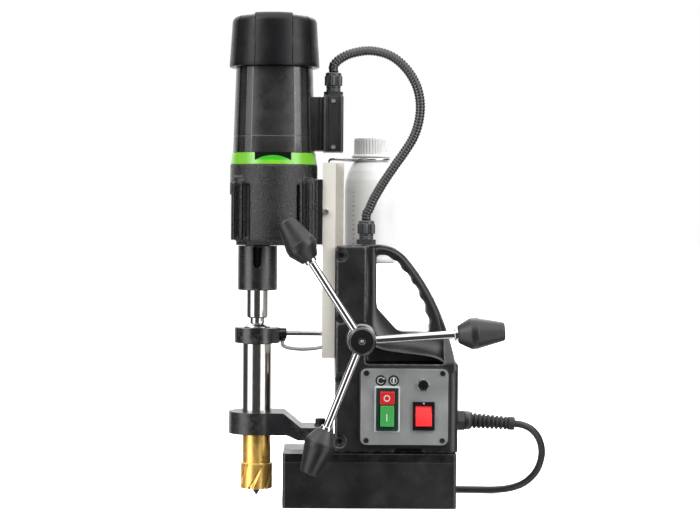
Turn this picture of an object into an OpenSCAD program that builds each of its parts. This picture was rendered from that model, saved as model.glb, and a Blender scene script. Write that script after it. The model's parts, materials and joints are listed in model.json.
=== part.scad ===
// Magnetic drill press. Millimetres, +Z up. The origin is the centre of the magnet's underside.
// -X is the drill side, +X the handle side, -Y the control side and +Y the coolant bottle's side.

/* [Magnet base] */
// Length of the magnet
magnet_l = 165; // [160:1:170]
// Width of the magnet
magnet_w = 80; // [78:1:90]
// Height of the magnet body
magnet_h = 44; // [42:1:46]
// Thickness of the base plate on the magnet
base_plate_t = 8; // [6:1:10]
// Radius of the base's upright corners
base_corner_r = 3; // [2:0.5:14]

/* [Column] */
// Height of the column's top over the standing surface
column_top = 249; // [247:1:250]
// Place of the column's front face along X
column_front = -33; // [-33.5:0.5:-32.5]
// Half the width of the column and of the control housing
column_half_w = 32; // [32:0.5:33]
// Half the width of the handle
handle_half_w = 13; // [11:1:14]

/* [Head] */
// Place of the spindle's axis along X
spindle_x = -108.5; // [-109:0.5:-108]
// Place of the motor's axis along X
motor_x = -93.5; // [-94:0.5:-93]
// Outer radius of the arbor
arbor_r = 14.1; // [13.8:0.1:14.3]
// Radius over the cutter's teeth
cutter_r = 15.25; // [14.8:0.05:15.5]
// Diameter of the standard cutter shank
cutter_shank_d = 19.05; // [19.05]

/* [Feed] */
// Place of the feed shaft's axis along X
feed_x = -8.8; // [-8.8]
// Height of the feed shaft's axis
feed_z = 161.3; // [160:0.1:162]
// Module of the rack and its pinion
feed_module = 1.5; // [1.5]
// Number of teeth on the pinion
pinion_teeth = 16; // [16]
// Distance from the feed shaft to a knob's outer end
lever_reach = 133.5; // [130:0.5:134]

/* [Coolant] */
// Place of the bottle's axis, along X and Y
bottle_at = [1.7, 60.5];
// Radius of the bottle
bottle_r = 26; // [24:0.5:26]

/* [Power cord] */
// Diameter of the power cord
cord_d = 7; // [6:0.5:8]
// Diameter across the coil at the middle of its turns
coil_d = 87; // [80:1:94]

/* [Hidden] */
$fn = 64;
eps = 0.01;
base_top = magnet_h + base_plate_t;
panel_mid = [32.7, 96.6];       // X and Z of the panel's middle
panel_size = [83, 72.4];
panel_face = -column_half_w - 4; // Y of the panel's outer face
gasket_t = 2;
panel_t = 2;
wall = 4;
housing_top = 137;              // height of the control housing's shoulder
housing_end = 84.5;             // X of the control housing's rear face
coil_pocket_x = 38;             // X of each magnet coil
core_r = 18;
pocket_r = 31;
pocket_h = 34;
dove_back = -26;                // X of the dovetail's back
dove_narrow = 13;
dove_wide = 17.6;
slide_front = -46.3;
slide_back = -34;
slide_half_w = 24;
slide_bottom = 141.6;
dove_bottom = 121;
slide_top = 328;
fit = 0.1;                      // gap on each sliding face
gib_t = 3;
gib_screw_z = [63, 122, 181, 240];
pinion_r = feed_module * pinion_teeth / 2;
bush_r = 14.2;
shaft_r = 8;
run = 0.05;                     // radial clearance of a running fit
gear_bottom = 249;              // underside of the gearbox
gear_top = 326;
ring_top = 337;
motor_top = 419;
cap_top = 467.8;
spindle_shaft_r = 8;
stage_1_z = 296;                // height of the motor pinion and the large idler gear
stage_2_z = 276;                // height of the small idler gear and the output gear
motor_teeth = 10;
idler_teeth = 26;
idler_small_teeth = 10;
output_teeth = 30;
stage_1_m = 1;
stage_2_m = 1.25;
stage_1_d = stage_1_m * (motor_teeth + idler_teeth) / 2;
stage_2_d = stage_2_m * (idler_small_teeth + output_teeth) / 2;
axis_gap = motor_x - spindle_x;
idler_dx = (stage_2_d * stage_2_d - stage_1_d * stage_1_d + axis_gap * axis_gap) / (2 * axis_gap);
idler_x = spindle_x + idler_dx;
idler_y = sqrt(stage_2_d * stage_2_d - idler_dx * idler_dx);
idler_from_motor = atan2(idler_y, idler_x - motor_x);
idler_from_spindle = atan2(idler_y, idler_dx);
arbor_end = 70;                 // height of the arbor's lower end
barrel_top = 154.4;             // height of the arbor barrel's upper end
coolant_z = [154.7, 169.2];     // the coolant ring's lower and upper faces
cutter_bottom = 13.3;
cutter_step = 38.5;
pilot_r = 3.17;
pilot_tip = 7.2;
pilot_top = 106;
spring_top = 146;
bracket_z = [67.5, 88.5];       // the support ring's lower and upper faces
bracket_r = 27;
hub_y = -78;                    // Y of the capstan hub's outer face
lever_y = -68;
lever_angles = [4.2, 123.1, 248.5];
gland_at = [-4, 0];             // X and Y of the conduit's gland on the column
motor_gland_x = -36.7;
box_z = [338.5, 392];           // the terminal box's lower and upper faces
neck_z = 332.3;                 // height of the wire ring round the bottle's neck
cord_exit = [141, 0, 77.6];     // where the cord leaves its bend relief
coil_at = [12, 120];            // centre of the coiled cord on the floor
coil_h = 28;
coil_half_w = 10.5;
conduit_r = 4.8;

// ---- shapes that repeat ----

// A point on a circle, with the angle in degrees
function on_circle(c, r, a) = [c.x + r * cos(a), c.y + r * sin(a)];

// Points along an arc
function arc(c, r, from, to, steps) =
    [for (i = [0:steps]) on_circle(c, r, from + (to - from) * i / steps)];

function unit(v) = v / norm(v);
function heading(p, i) = unit(p[min(i + 1, len(p) - 1)] - p[max(i - 1, 0)]);
function across(p, i, ref) = unit(cross(heading(p, i), ref));

// One ring of a swept tube
function tube_ring(p, i, r, sides, ref) =
    let (u = across(p, i, ref), v = cross(heading(p, i), u))
    [for (k = [0:sides - 1]) p[i] + r * (cos(360 * k / sides) * u + sin(360 * k / sides) * v)];

// A round tube along a list of points. ref is never parallel to the route
module tube(p, r, sides, ref) {
    n = len(p);
    polyhedron(
        [for (i = [0:n - 1]) each tube_ring(p, i, r, sides, ref)],
        concat(
            [[for (k = [0:sides - 1]) k]],
            [for (i = [0:n - 2], k = [0:sides - 1])
                let (m = (k + 1) % sides)
                [i * sides + k, (i + 1) * sides + k, (i + 1) * sides + m, i * sides + m]],
            [[for (k = [sides - 1:-1:0]) (n - 1) * sides + k]]));
}

// A smooth line through hand-chosen points, with steps points to each stretch
function smooth(p, steps) = concat(
    [for (i = [0:len(p) - 2], s = [0:steps - 1])
        let (t = s / steps, a = p[max(i - 1, 0)], b = p[i], c = p[i + 1],
             d = p[min(i + 2, len(p) - 1)])
        0.5 * (2 * b + (c - a) * t + (2 * a - 5 * b + 4 * c - d) * t * t
            + (3 * b - 3 * c + d - a) * t * t * t)],
    [p[len(p) - 1]]);

module rounded_rect(w, h, r) {
    square([w - 2 * r, h], center = true);
    square([w, h - 2 * r], center = true);
    for (x = [-1, 1], y = [-1, 1])
        translate([x * (w / 2 - r), y * (h / 2 - r)]) circle(r = r);
}

// A side outline in X and Z, thick along Y, with its far face at y
module slab(y, thick) {
    translate([0, y, 0]) rotate([90, 0, 0]) linear_extrude(thick) children();
}

// Turns a shape so that its +Z points at the far side, or at the control side
module to_far(x, y, z) { translate([x, y, z]) rotate([-90, 0, 0]) children(); }
module to_near(x, y, z) { translate([x, y, z]) rotate([90, 0, 0]) children(); }

module washer(r, bore, h) {
    difference() {
        cylinder(r = r, h = h);
        translate([0, 0, -1]) cylinder(r = bore, h = h + 2);
    }
}

// A socket head screw: its head stands on the XY plane, and its shank hangs below
module socket_screw(shank, length, head_r, head_h) {
    translate([0, 0, -length]) cylinder(r = shank, h = length + eps, $fn = 32);
    difference() {
        cylinder(r = head_r, h = head_h, $fn = 32);
        translate([0, 0, head_h * 0.45]) cylinder(r = head_r * 0.55, h = head_h, $fn = 6);
    }
}

// A gear's outline with straight-flanked teeth. slack is the play on each flank
module gear_outline(teeth, m, slack = 0.14) {
    r = m * teeth / 2;
    tip = r + 0.82 * m;
    root = r - 1.15 * m;
    half = PI * m / 4 - slack;
    at_tip = (half - 0.82 * m * tan(20)) / tip * 180 / PI;
    at_root = (half + 1.15 * m * tan(20)) / r * 180 / PI;
    polygon([for (i = [0:teeth - 1], s = [[root, -at_root], [tip, -at_tip], [tip, at_tip], [root, at_root]])
        on_circle([0, 0], s[0], 360 * i / teeth + s[1])]);
}

// ---- magnet base ----

module base_outline() { rounded_rect(magnet_l, magnet_w, base_corner_r); }

base_screw_at = [for (x = [19, 63], y = [-22, 22]) [x, y]];

module magnet_body() {
    color("#26282b") difference() {
        linear_extrude(magnet_h) base_outline();
        for (x = [-coil_pocket_x, coil_pocket_x])
            translate([x, 0, -1]) washer(pocket_r, core_r, pocket_h + 1);
        for (p = base_screw_at)
            translate([p.x, p.y, 37]) cylinder(r = 3.05, h = magnet_h);
    }
}

module magnet_coils() {
    color("#b5622c") for (x = [-coil_pocket_x, coil_pocket_x])
        translate([x, 0, 8]) washer(pocket_r - 1, core_r + 1, 25);
}

module coil_potting() {
    color("#5b3a26") for (x = [-coil_pocket_x, coil_pocket_x])
        translate([x, 0, 0]) washer(pocket_r, core_r, 7);
}

module base_plate() {
    color("#141516") difference() {
        translate([0, 0, magnet_h]) linear_extrude(base_plate_t) base_outline();
        for (p = base_screw_at)
            translate([p.x, p.y, magnet_h - 1]) cylinder(r = 3.3, h = base_plate_t + 2);
    }
}

// ---- column, handle and control housing ----

handle_arc = [8, 214];
handle_arc_r = 36;
handle_turn = 40;
handle_long_r = (housing_end - handle_arc.x - handle_arc_r * cos(handle_turn)) / (1 - cos(handle_turn));
handle_long_c = [housing_end - handle_long_r,
    handle_arc.y + handle_arc_r * sin(handle_turn) - handle_long_r * sin(handle_turn)];
grip_c = [-47, 156];
grip_r = 105;

// Half the dovetail's width at a place along X
function dove_half(x) =
    dove_narrow + (dove_wide - dove_narrow) * (x - slide_back) / (dove_back - slide_back);

module handle_outline() {
    difference() {
        polygon(concat([[-8, 100], [-8, 250]], arc(handle_arc, handle_arc_r, 90, handle_turn, 10),
            arc(handle_long_c, handle_long_r, handle_turn, 0, 16), [[housing_end, 100]]));
        intersection() {
            polygon([[6, 190], [27, 167], [62, 165.5], [62, 240], [6, 240]]);
            union() {
                translate(grip_c) circle(r = grip_r);
                for (a = [12:8.5:48])
                    translate(on_circle(grip_c, grip_r - 8.2, a)) circle(r = 10);
            }
        }
    }
}

// The control housing up to its shoulder, and the shoulder that runs up into the handle's rear leg
module housing_solid() {
    translate([(housing_end - 4) / 2 - 8, 0, base_top])
        linear_extrude(housing_top - base_top)
            rounded_rect(housing_end + 20, 2 * column_half_w, 8);
    intersection() {
        slab(column_half_w, 2 * column_half_w) handle_outline();
        translate([70, 0, 0]) rotate([90, 0, 90]) linear_extrude(20)
            polygon([[-column_half_w, 130], [-column_half_w, housing_top], [-handle_half_w, 168],
                [handle_half_w, 168], [column_half_w, housing_top], [column_half_w, 130]]);
    }
}

// The dovetail groove, wider by the gib on its near side
module groove() {
    x0 = column_front - 1;
    x1 = dove_back + fit;
    near = fit + gib_t;
    translate([0, 0, base_top]) linear_extrude(column_top)
        polygon([[x0, dove_half(x0) + fit], [x1, dove_half(x1) + fit],
            [x1, -dove_half(x1) - near], [x0, -dove_half(x0) - near]]);
    translate([dove_back, -7, base_top]) cube([7.4, 14, column_top]);
}

cover_posts = [for (x = [6, 76], z = [62, 128]) [x, z]];
panel_screw_at = [for (x = [-36.2, 36.2], z = [-32, 32]) [panel_mid.x + x, panel_mid.y + z]];

module electrics_space() {
    difference() {
        translate([1, -column_half_w + wall, base_top + 5])
            cube([housing_end - 5, 2 * column_half_w, 75]);
        for (p = cover_posts)
            to_far(p.x, -column_half_w, p.y) cylinder(r = 5.6, h = 2 * column_half_w);
    }
    translate([2, -column_half_w - 1, panel_mid.y - 30]) cube([62, wall + 2, 60]);
}

module column_casting() {
    color("#1d1e20") difference() {
        union() {
            translate([column_front, -column_half_w, base_top])
                cube([-4 - column_front, 2 * column_half_w, column_top - base_top]);
            slab(handle_half_w, 2 * handle_half_w) handle_outline();
            housing_solid();
            translate([-58, -20, base_top]) cube([30, 40, 10.5]);
        }
        groove();
        electrics_space();
        to_far(feed_x, -column_half_w - 1, feed_z) cylinder(r = bush_r, h = column_half_w + 23);
        for (p = cover_posts)
            to_far(p.x, column_half_w - 10, p.y) cylinder(r = 2.05, h = 12);
        for (p = panel_screw_at)
            to_near(p.x, -column_half_w + 10, p.y) cylinder(r = 2.05, h = 12);
        for (z = gib_screw_z) to_near(-28.5, -18, z) {
            cylinder(r = 3.1, h = 20);
            translate([0, 0, 9]) cylinder(r = 5.2, h = 20);
        }
        for (p = base_screw_at) translate([p.x, p.y, base_top - 1]) cylinder(r = 3.3, h = 10);
        translate([-47, 0, 54]) cylinder(r = 3.05, h = 20);
        translate([gland_at.x, gland_at.y, column_top - 25]) cylinder(r = 5, h = 40);
        translate([housing_end - 10, 0, cord_exit.z + 3]) rotate([0, 90, 0]) cylinder(r = 5, h = 20);
        translate([23.7, -column_half_w - 1, base_top - 1]) cube([26.4, 4, 5]);
    }
}

module side_cover() {
    color("#202123") difference() {
        slab(column_half_w + 2.5, 2.5)
            translate([41, 95]) rounded_rect(82, 80, 5);
        for (p = cover_posts) to_far(p.x, column_half_w - 1, p.y) cylinder(r = 2.3, h = 5);
    }
}

module gib_strip() {
    x0 = column_front;
    x1 = dove_back;
    color("#b08d3a") translate([0, 0, base_top + 1]) linear_extrude(column_top - base_top - 2)
        polygon([[x0, -dove_half(x0) - fit / 2], [x1, -dove_half(x1) - fit / 2],
            [x1, -dove_half(x1) - gib_t], [x0, -dove_half(x0) - gib_t]]);
}

module shaft_bushes() {
    color("#b98a4a") {
        to_far(feed_x, -column_half_w, feed_z) washer(bush_r, shaft_r + run, 22.8);
        to_far(feed_x, 9.2, feed_z) washer(bush_r, shaft_r + run, 12.8);
    }
}

// M6 screws: four hold the casting to the magnet, one the support bracket, and four press on the gib
module cap_screws() {
    color("#1b1b1c") {
        for (p = base_screw_at) translate([p.x, p.y, base_top + 5]) socket_screw(3, 18, 5, 6);
        translate([-47, 0, 74.8]) {
            washer(6, 3.2, 1.2);
            translate([0, 0, 1.2]) socket_screw(3, 18, 5, 5.5);
        }
        for (z = gib_screw_z) to_near(-28.5, -27.2, z) socket_screw(3, 5.6, 5, 4.4);
    }
}

module support_bracket() {
    low = bracket_z[0];
    high = bracket_z[1];
    color("#2b2d30") difference() {
        union() {
            translate([spindle_x, 0, low]) cylinder(r = bracket_r, h = high - low);
            slab(25, 50) polygon([[spindle_x, low], [spindle_x, high], [-82.3, high], [-65.5, 74.8],
                [column_front - 1.4, 74.8], [column_front - 1.4, 62.6], [-68, 62.6], [-79, low]]);
        }
        translate([spindle_x, 0, low - 1]) cylinder(r = arbor_r + 0.3, h = 40);
        translate([-47, 0, 50]) cylinder(r = 3.3, h = 40);
    }
}

// ---- control panel ----

module panel_holes() {
    for (p = panel_screw_at) translate(p) circle(r = 2.2);
}

module switch_holes() {
    translate(panel_mid + [-16.4, -2.2]) square([18, 37], center = true);
    translate(panel_mid + [18.3, -8.5]) square([17.6, 24], center = true);
    translate(panel_mid + [17.6, 21]) circle(r = 5);
}

module panel_gasket() {
    color("#0c0c0d") slab(-column_half_w, gasket_t) translate(panel_mid) difference() {
        rounded_rect(panel_size.x + 3, panel_size.y + 3, 7);
        square([60, 58], center = true);
        translate(-panel_mid) panel_holes();
    }
}

module panel_plate() {
    color("#b4b6ba") slab(-column_half_w - gasket_t, panel_t) difference() {
        translate(panel_mid) rounded_rect(panel_size.x, panel_size.y, 5.5);
        panel_holes();
        switch_holes();
    }
}

// M4 screws: four in the panel and four in the side cover
module panel_screws() {
    color("#1a1a1b") {
        for (p = panel_screw_at) to_near(p.x, panel_face, p.y) socket_screw(1.95, 10, 2.6, 1.2);
        for (p = cover_posts) to_far(p.x, column_half_w + 2.5, p.y) socket_screw(1.95, 9, 3.4, 2.2);
    }
}

motor_switch_at = [16.3, 94.4];
magnet_switch_at = [51, 88.1];
fuse_at = [50.3, 117.6];
button_face = panel_face - 4.6;

module motor_switch() {
    color("#10261a") difference() {
        union() {
            slab(panel_face, 3) translate(motor_switch_at) rounded_rect(21.4, 40.8, 1.2);
            slab(panel_face + 22, 24) translate(motor_switch_at) square([17.6, 36.6], center = true);
        }
        slab(panel_face + 16, 30) translate(motor_switch_at) square([14.6, 34.2], center = true);
    }
}

module stop_button() {
    color("#d8242b") slab(panel_face + 6, panel_face + 6 - button_face)
        translate([motor_switch_at.x, 105.1]) rounded_rect(14, 12.6, 1);
}

module start_button() {
    color("#2f9a45") slab(panel_face + 6, panel_face + 6 - button_face + 0.6)
        translate([motor_switch_at.x, 88]) rounded_rect(13.2, 20, 1);
}

rocker_axis = panel_face - 1;

module magnet_switch() {
    color("#0d0d0e") difference() {
        union() {
            slab(panel_face, 2.4) translate(magnet_switch_at) rounded_rect(20.8, 27.2, 1);
            slab(panel_face + 20, 22) translate(magnet_switch_at) square([17.2, 23.6], center = true);
        }
        slab(panel_face + 14, 30) translate(magnet_switch_at) square([15.8, 20.8], center = true);
        translate([magnet_switch_at.x - 9.2, rocker_axis, magnet_switch_at.y])
            rotate([0, 90, 0]) cylinder(r = 1.1 + run, h = 18.4);
    }
}

// The rocker turns on its pivot pin. Its upper half is pressed in at rest
module magnet_rocker() {
    rocker_w = 15.2;
    color("#e8262a") translate([magnet_switch_at.x, rocker_axis, magnet_switch_at.y]) {
        translate([-rocker_w / 2, 0, 0]) rotate([90, 0, 90]) linear_extrude(rocker_w)
            polygon([[8, -4], [8, 4], [3, 9.4], [1.4, 9.6], [-2.2, 0], [-4.4, -9.2], [3, -9.6]]);
        translate([-8.5, 0, 0]) rotate([0, 90, 0]) cylinder(r = 1.1, h = 17);
    }
}

module fuse_holder() {
    color("#c9c9cc") difference() {
        union() {
            slab(panel_face, 1.6) translate(fuse_at) circle(r = 6.4, $fn = 6);
            slab(panel_face, 2.6) translate(fuse_at) circle(r = 5.4);
            slab(panel_face + 24, 26) translate(fuse_at) circle(r = 4.9);
        }
        slab(panel_face + 18, 30) translate(fuse_at) circle(r = 3.95);
    }
}

module fuse_cap() {
    color("#101011") difference() {
        union() {
            slab(panel_face + 8, 8) translate(fuse_at) circle(r = 3.88);
            slab(panel_face - 2.65, 1.8) translate(fuse_at) circle(r = 4.3);
            slab(panel_face, 3) translate(fuse_at) circle(r = 3.88);
        }
        slab(panel_face - 3.6, 3) translate(fuse_at) square([1.1, 7], center = true);
    }
}

// Mains filter, rectifier and relay on one board behind the panel
module control_board() {
    color("#1f6b3a") {
        translate([10, 8, 66]) cube([62, 1.6, 56]);
        translate([16, 9.6, 72]) cube([26, 16, 24]);
        translate([48, 9.6, 76]) cube([16, 14, 12]);
        for (x = [18, 34, 52]) to_far(x, 9.5, 110) cylinder(r = 5.5, h = 14);
        for (x = [14, 68], z = [70, 118])
            to_far(x, -column_half_w + wall, z) cylinder(r = 2.5, h = 36.1);
    }
}

// ---- cables ----

// A cable gland: hexagon, threaded body and domed nut
module gland(h) {
    difference() {
        union() {
            cylinder(r = 8.6, h = 5, $fn = 6);
            cylinder(r = 6.8, h = h);
            translate([0, 0, h - 13]) cylinder(r = 8.2, h = 10);
            translate([0, 0, h - 3]) cylinder(r1 = 8.2, r2 = 6, h = 3);
        }
        translate([0, 0, -1]) cylinder(r = 4, h = h + 2);
    }
}

gland_h = 23.4;

module column_gland() {
    color("#3c3f42") translate([gland_at.x, gland_at.y, column_top + 1]) gland(gland_h);
}

module motor_gland() {
    color("#3c3f42") translate([motor_gland_x, 0, box_z[1]]) gland(gland_h);
}

conduit_points = [
    [gland_at.x, 0, column_top + 1.05 + gland_h], [gland_at.x, 0, 279], [-1, 0, 285], [3, 0, 294], [11, 0, 308],
    [21.5, 0, 324], [32, 0, 339], [41, 0, 354], [46, 0, 370], [47, 0, 387], [43, 0, 404],
    [33, 0, 420], [18, 0, 432], [-1, 0, 436.6], [-19, 0, 434], [-30.8, 0, 428.2],
    [motor_gland_x, 0, box_z[1] + gland_h + 6.5], [motor_gland_x, 0, box_z[1] + gland_h + 3],
    [motor_gland_x, 0, box_z[1] + gland_h + 0.05]];

module cable_conduit() {
    color("#1a1a1b") tube(smooth(conduit_points, 2), conduit_r, 12, [0, 1, 0]);
}

// The rear gland with its spiral bend relief
module cord_gland() {
    color("#35383b") translate([housing_end, 0, cord_exit.z + 3]) difference() {
        union() {
            rotate([0, 90, 0]) cylinder(r = 9.8, h = 13.6);
            translate([13, 0, 0]) rotate([0, 90 + 3.9, 0]) {
                cylinder(r1 = 7.4, r2 = 6.2, h = 37);
                translate([0, 0, 37]) cylinder(r = 6.4, h = 6.6);
            }
        }
        translate([-1, 0, 0]) rotate([0, 90, 0]) cylinder(r = 3.6, h = 14);
    }
}

cord_points = [
    cord_exit, [150, 1, 76], [159, 4, 71], [166, 10, 62], [170, 19, 50], [170, 30, 37], [166, 42, 24],
    [157, 53, 13], [144, 61, 6.5], [128, 66, 3.9], [110, 68.5, 3.5], [90, 69.4, 3.5], [60, 69.5, 3.5],
    [30, 69.5, 3.5]];

module power_cord() {
    color("#151516") tube(smooth(cord_points, 2), cord_d / 2, 10, [0, 0, 1]);
}

module cord_coil() {
    color("#151516") translate([coil_at.x, coil_at.y, 0]) rotate_extrude()
        translate([coil_d / 2 - coil_half_w, 0]) square([2 * coil_half_w, coil_h]);
}

plug_from = [0, 67, 23.5];

module plug() {
    color("#19191a") translate(plug_from) rotate([0, 0, 7]) rotate([0, -98, 0]) {
        translate([0, 0, -3]) cylinder(r1 = 4.4, r2 = 6.5, h = 27);
        translate([0, 0, 23]) cylinder(r1 = 10, r2 = 15, h = 8);
        translate([0, 0, 31]) cylinder(r = 15, h = 30);
        for (y = [-9.5, 9.5]) translate([0, y, 60]) cylinder(r = 2.4, h = 19, $fn = 24);
    }
}

// ---- slide ----

module slide_bar() {
    color("#d9d4c6") difference() {
        union() {
            translate([slide_front, -slide_half_w, slide_bottom])
                cube([slide_back - slide_front, 2 * slide_half_w, slide_top - slide_bottom]);
            translate([0, 0, dove_bottom]) linear_extrude(slide_top - dove_bottom)
                polygon([[slide_back - eps, dove_narrow], [dove_back, dove_wide],
                    [dove_back, -dove_wide], [slide_back - eps, -dove_narrow]]);
        }
        for (p = plate_screw_at) translate([slide_front - 1, p.x, p.y])
            rotate([0, 90, 0]) cylinder(r = 2.55, h = 11);
        translate([slide_front - 1, 0, coolant_rod_z]) rotate([0, 90, 0]) cylinder(r = 2.55, h = 9);
        to_near(-43, -slide_half_w + 8, 281) cylinder(r = 2.55, h = 12);
        translate([-40, 10, slide_top - 8]) cylinder(r = 1.55, h = 12);
    }
}

coolant_rod_z = 163.8;
plate_screw_at = [for (y = [-17, 17], z = [275, 300]) [y, z]];

// The rack meshes with the pinion all along the travel
module feed_rack() {
    pitch = PI * feed_module;
    back = dove_back;
    root = feed_x - pinion_r - 1.15 * feed_module;
    tip = feed_x - pinion_r + 0.82 * feed_module;
    at_root = pitch / 4 - 0.14 + 1.15 * feed_module * tan(20);
    at_tip = pitch / 4 - 0.14 - 0.82 * feed_module * tan(20);
    teeth = [for (i = [-9:15]) feed_z + pitch * (i + 0.5)];
    color("#9a9a9c") slab(6, 12) polygon(concat(
        [[back, teeth[len(teeth) - 1] + pitch / 2], [back, dove_bottom + 1], [root, dove_bottom + 1]],
        [for (z = teeth) each [[root, z - at_root], [tip, z - at_tip], [tip, z + at_tip], [root, z + at_root]]],
        [[root, teeth[len(teeth) - 1] + pitch / 2]]));
}

module back_plate() {
    color("#161718") difference() {
        translate([slide_front - 4.7, -26, gear_bottom + 1]) cube([4.7, 52, 62]);
        for (p = plate_screw_at) translate([slide_front - 6, p.x, p.y])
            rotate([0, 90, 0]) cylinder(r = 2.8, h = 11);
    }
}

// M5 screws: four hold the gearbox to the slide, one locks the slide, two close the terminal box
module head_screws() {
    color("#b9bbbe") {
        for (p = plate_screw_at) translate([-56, p.x, p.y])
            rotate([0, -90, 0]) socket_screw(2.5, 18, 4.2, 4);
        to_near(-43, -slide_half_w, 281) socket_screw(2.5, 7, 2.7, 3);
        for (z = [box_z[0] + 4.6, box_z[1] - 5])
            to_near(motor_gland_x, -20, z) socket_screw(1.6, 6, 2, 1.2);
    }
}

// ---- gearbox ----

module gearbox_housing() {
    color("#232426") difference() {
        union() {
            translate([-131, -30, gear_bottom + 5]) cube([75, 60, 60]);
            translate([-133, -34, gear_bottom + 5]) cube([3, 68, 54]);
            intersection() {
                translate([motor_x, 0, gear_bottom]) {
                    cylinder(r1 = 37.5, r2 = 42, h = 5);
                    translate([0, 0, 5]) cylinder(r = 42, h = 60);
                }
                translate([-115.5, -45, gear_bottom]) cube([45, 90, 60]);
            }
            translate([-128, -31, gear_bottom]) cube([68, 62, 6]);
            for (x = [-125, -68, -59], s = [-1, 1])
                translate([x, s > 0 ? 29 : -35, gear_bottom + 5]) cube([2.6, 6, 56]);
            translate([-58, -30, gear_bottom + 1]) cube([7, 60, 62]);
            translate([motor_x, 0, 307]) cylinder(r = 42, h = gear_top - 307);
            translate([-135, -16, 297]) cube([8, 32, 12]);
        }
        translate([-128.8, -24, 268]) cube([72.8, 48, 39]);
        translate([-112, -34, 268]) cube([38, 68, 39]);
        translate([motor_x, 0, 306]) cylinder(r = 38, h = 30);
        translate([spindle_x, 0, gear_bottom - 1]) cylinder(r = 13, h = 30);
        translate([spindle_x, 0, 252]) cylinder(r = 17, h = 20);
        translate([idler_x, idler_y, 263]) cylinder(r = 5, h = 10);
        for (p = plate_screw_at) translate([-60, p.x, p.y])
            rotate([0, 90, 0]) cylinder(r = 2.8, h = 11);
    }
}

module bearing_plate() {
    color("#8d9093") difference() {
        union() {
            translate([motor_x, 0, 306.5]) cylinder(r = 37.9, h = 11.5);
            translate([motor_x, 0, 317]) cylinder(r = 12, h = 9);
        }
        translate([spindle_x, 0, 300]) cylinder(r = 8, h = 14);
        translate([idler_x, idler_y, 300]) cylinder(r = 5, h = 11.5);
        translate([motor_x, 0, 300]) cylinder(r = 6.3, h = 40);
        translate([motor_x, 0, 319]) cylinder(r = 8, h = 20);
    }
}

module bearings() {
    color("#c3c6c9") {
        translate([spindle_x, 0, 252.2]) washer(17, 12 + run, 13.8);
        translate([spindle_x, 0, 306.6]) washer(8, 4 + run, 7.2);
        translate([idler_x, idler_y, 263.2]) washer(5, 2.5 + run, 4.6);
        translate([idler_x, idler_y, 306.6]) washer(5, 2.5 + run, 4.6);
        translate([motor_x, 0, 319]) washer(8, 3.5 + run, 6);
        translate([motor_x, 0, 450]) washer(9.5, 3.5 + run, 7);
    }
}

module idler_gear() {
    color("#8f8a80") translate([idler_x, idler_y, 0]) {
        translate([0, 0, 263.4]) cylinder(r = 2.5, h = 47.4);
        translate([0, 0, stage_2_z - 1]) cylinder(r = 4.6, h = 20);
        translate([0, 0, stage_1_z]) rotate(idler_from_motor + 180 + 180 / idler_teeth)
            linear_extrude(8) gear_outline(idler_teeth, stage_1_m);
        translate([0, 0, stage_2_z]) rotate(idler_from_spindle + 180 + 180 / idler_small_teeth)
            linear_extrude(14) gear_outline(idler_small_teeth, stage_2_m);
    }
}

module output_gear() {
    color("#8f8a80") translate([spindle_x, 0, stage_2_z]) difference() {
        rotate(idler_from_spindle) linear_extrude(14) gear_outline(output_teeth, stage_2_m);
        translate([0, 0, -1]) cylinder(r = spindle_shaft_r, h = 16);
    }
}

// ---- motor ----

module motor_ring() {
    color("#7ad82a") translate([motor_x, 0, gear_top]) difference() {
        cylinder(r1 = 41.7, r2 = 40.2, h = ring_top - gear_top);
        translate([0, 0, -1]) cylinder(r = 34, h = 20);
        for (s = [-1, 1]) translate([0, s * 40, 7.8]) cube([34.4, 14, 8], center = true);
    }
}

module motor_housing() {
    h = motor_top - ring_top;
    color("#17181a") translate([motor_x, 0, ring_top]) difference() {
        cylinder(r1 = 39.4, r2 = 36.8, h = h);
        translate([0, 0, -1]) cylinder(r = 34, h = h + 2);
        translate([20, 0, 30]) rotate([0, 90, 0]) cylinder(r = 5, h = 30);
    }
}

module stator() {
    color("#75787c") translate([motor_x, 0, 347]) {
        washer(34, 20.6, 40);
        for (z = [-6, 40]) translate([0, 0, z]) washer(31, 23, 6);
    }
}

module armature() {
    color("#9c7a4e") translate([motor_x, 0, 0]) {
        translate([0, 0, 319]) cylinder(r = 3.5, h = 138);
        translate([0, 0, 304]) cylinder(r = 3.3, h = 16);
        translate([0, 0, stage_1_z]) rotate(idler_from_motor)
            linear_extrude(8.5) gear_outline(motor_teeth, stage_1_m);
        translate([0, 0, 349]) cylinder(r = 20, h = 36);
        translate([0, 0, 343]) cylinder(r = 15, h = 48);
        translate([0, 0, 424]) cylinder(r = 11, h = 16);
    }
}

module cooling_fan() {
    color("#2c2f33") translate([motor_x, 0, 328]) {
        washer(9, 3.5, 8);
        difference() {
            cylinder(r = 32, h = 1.6);
            translate([0, 0, -1]) cylinder(r = 8, h = 4);
        }
        for (a = [0:30:330]) rotate(a) translate([8.5, -0.7, 1]) cube([22.5, 1.4, 7]);
    }
}

module motor_brushes() {
    color("#5a5048") for (s = [0, 180]) translate([motor_x, 0, 432]) rotate(s) {
        translate([11.1, -3, -4]) cube([16, 6, 8]);
        translate([18, -5, -6]) cube([cap_inner_r - 18.4, 10, 2]);
        translate([18, -5, 4]) cube([cap_inner_r - 18.4, 10, 2]);
    }
}

cap_inner_r = 37;

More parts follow.
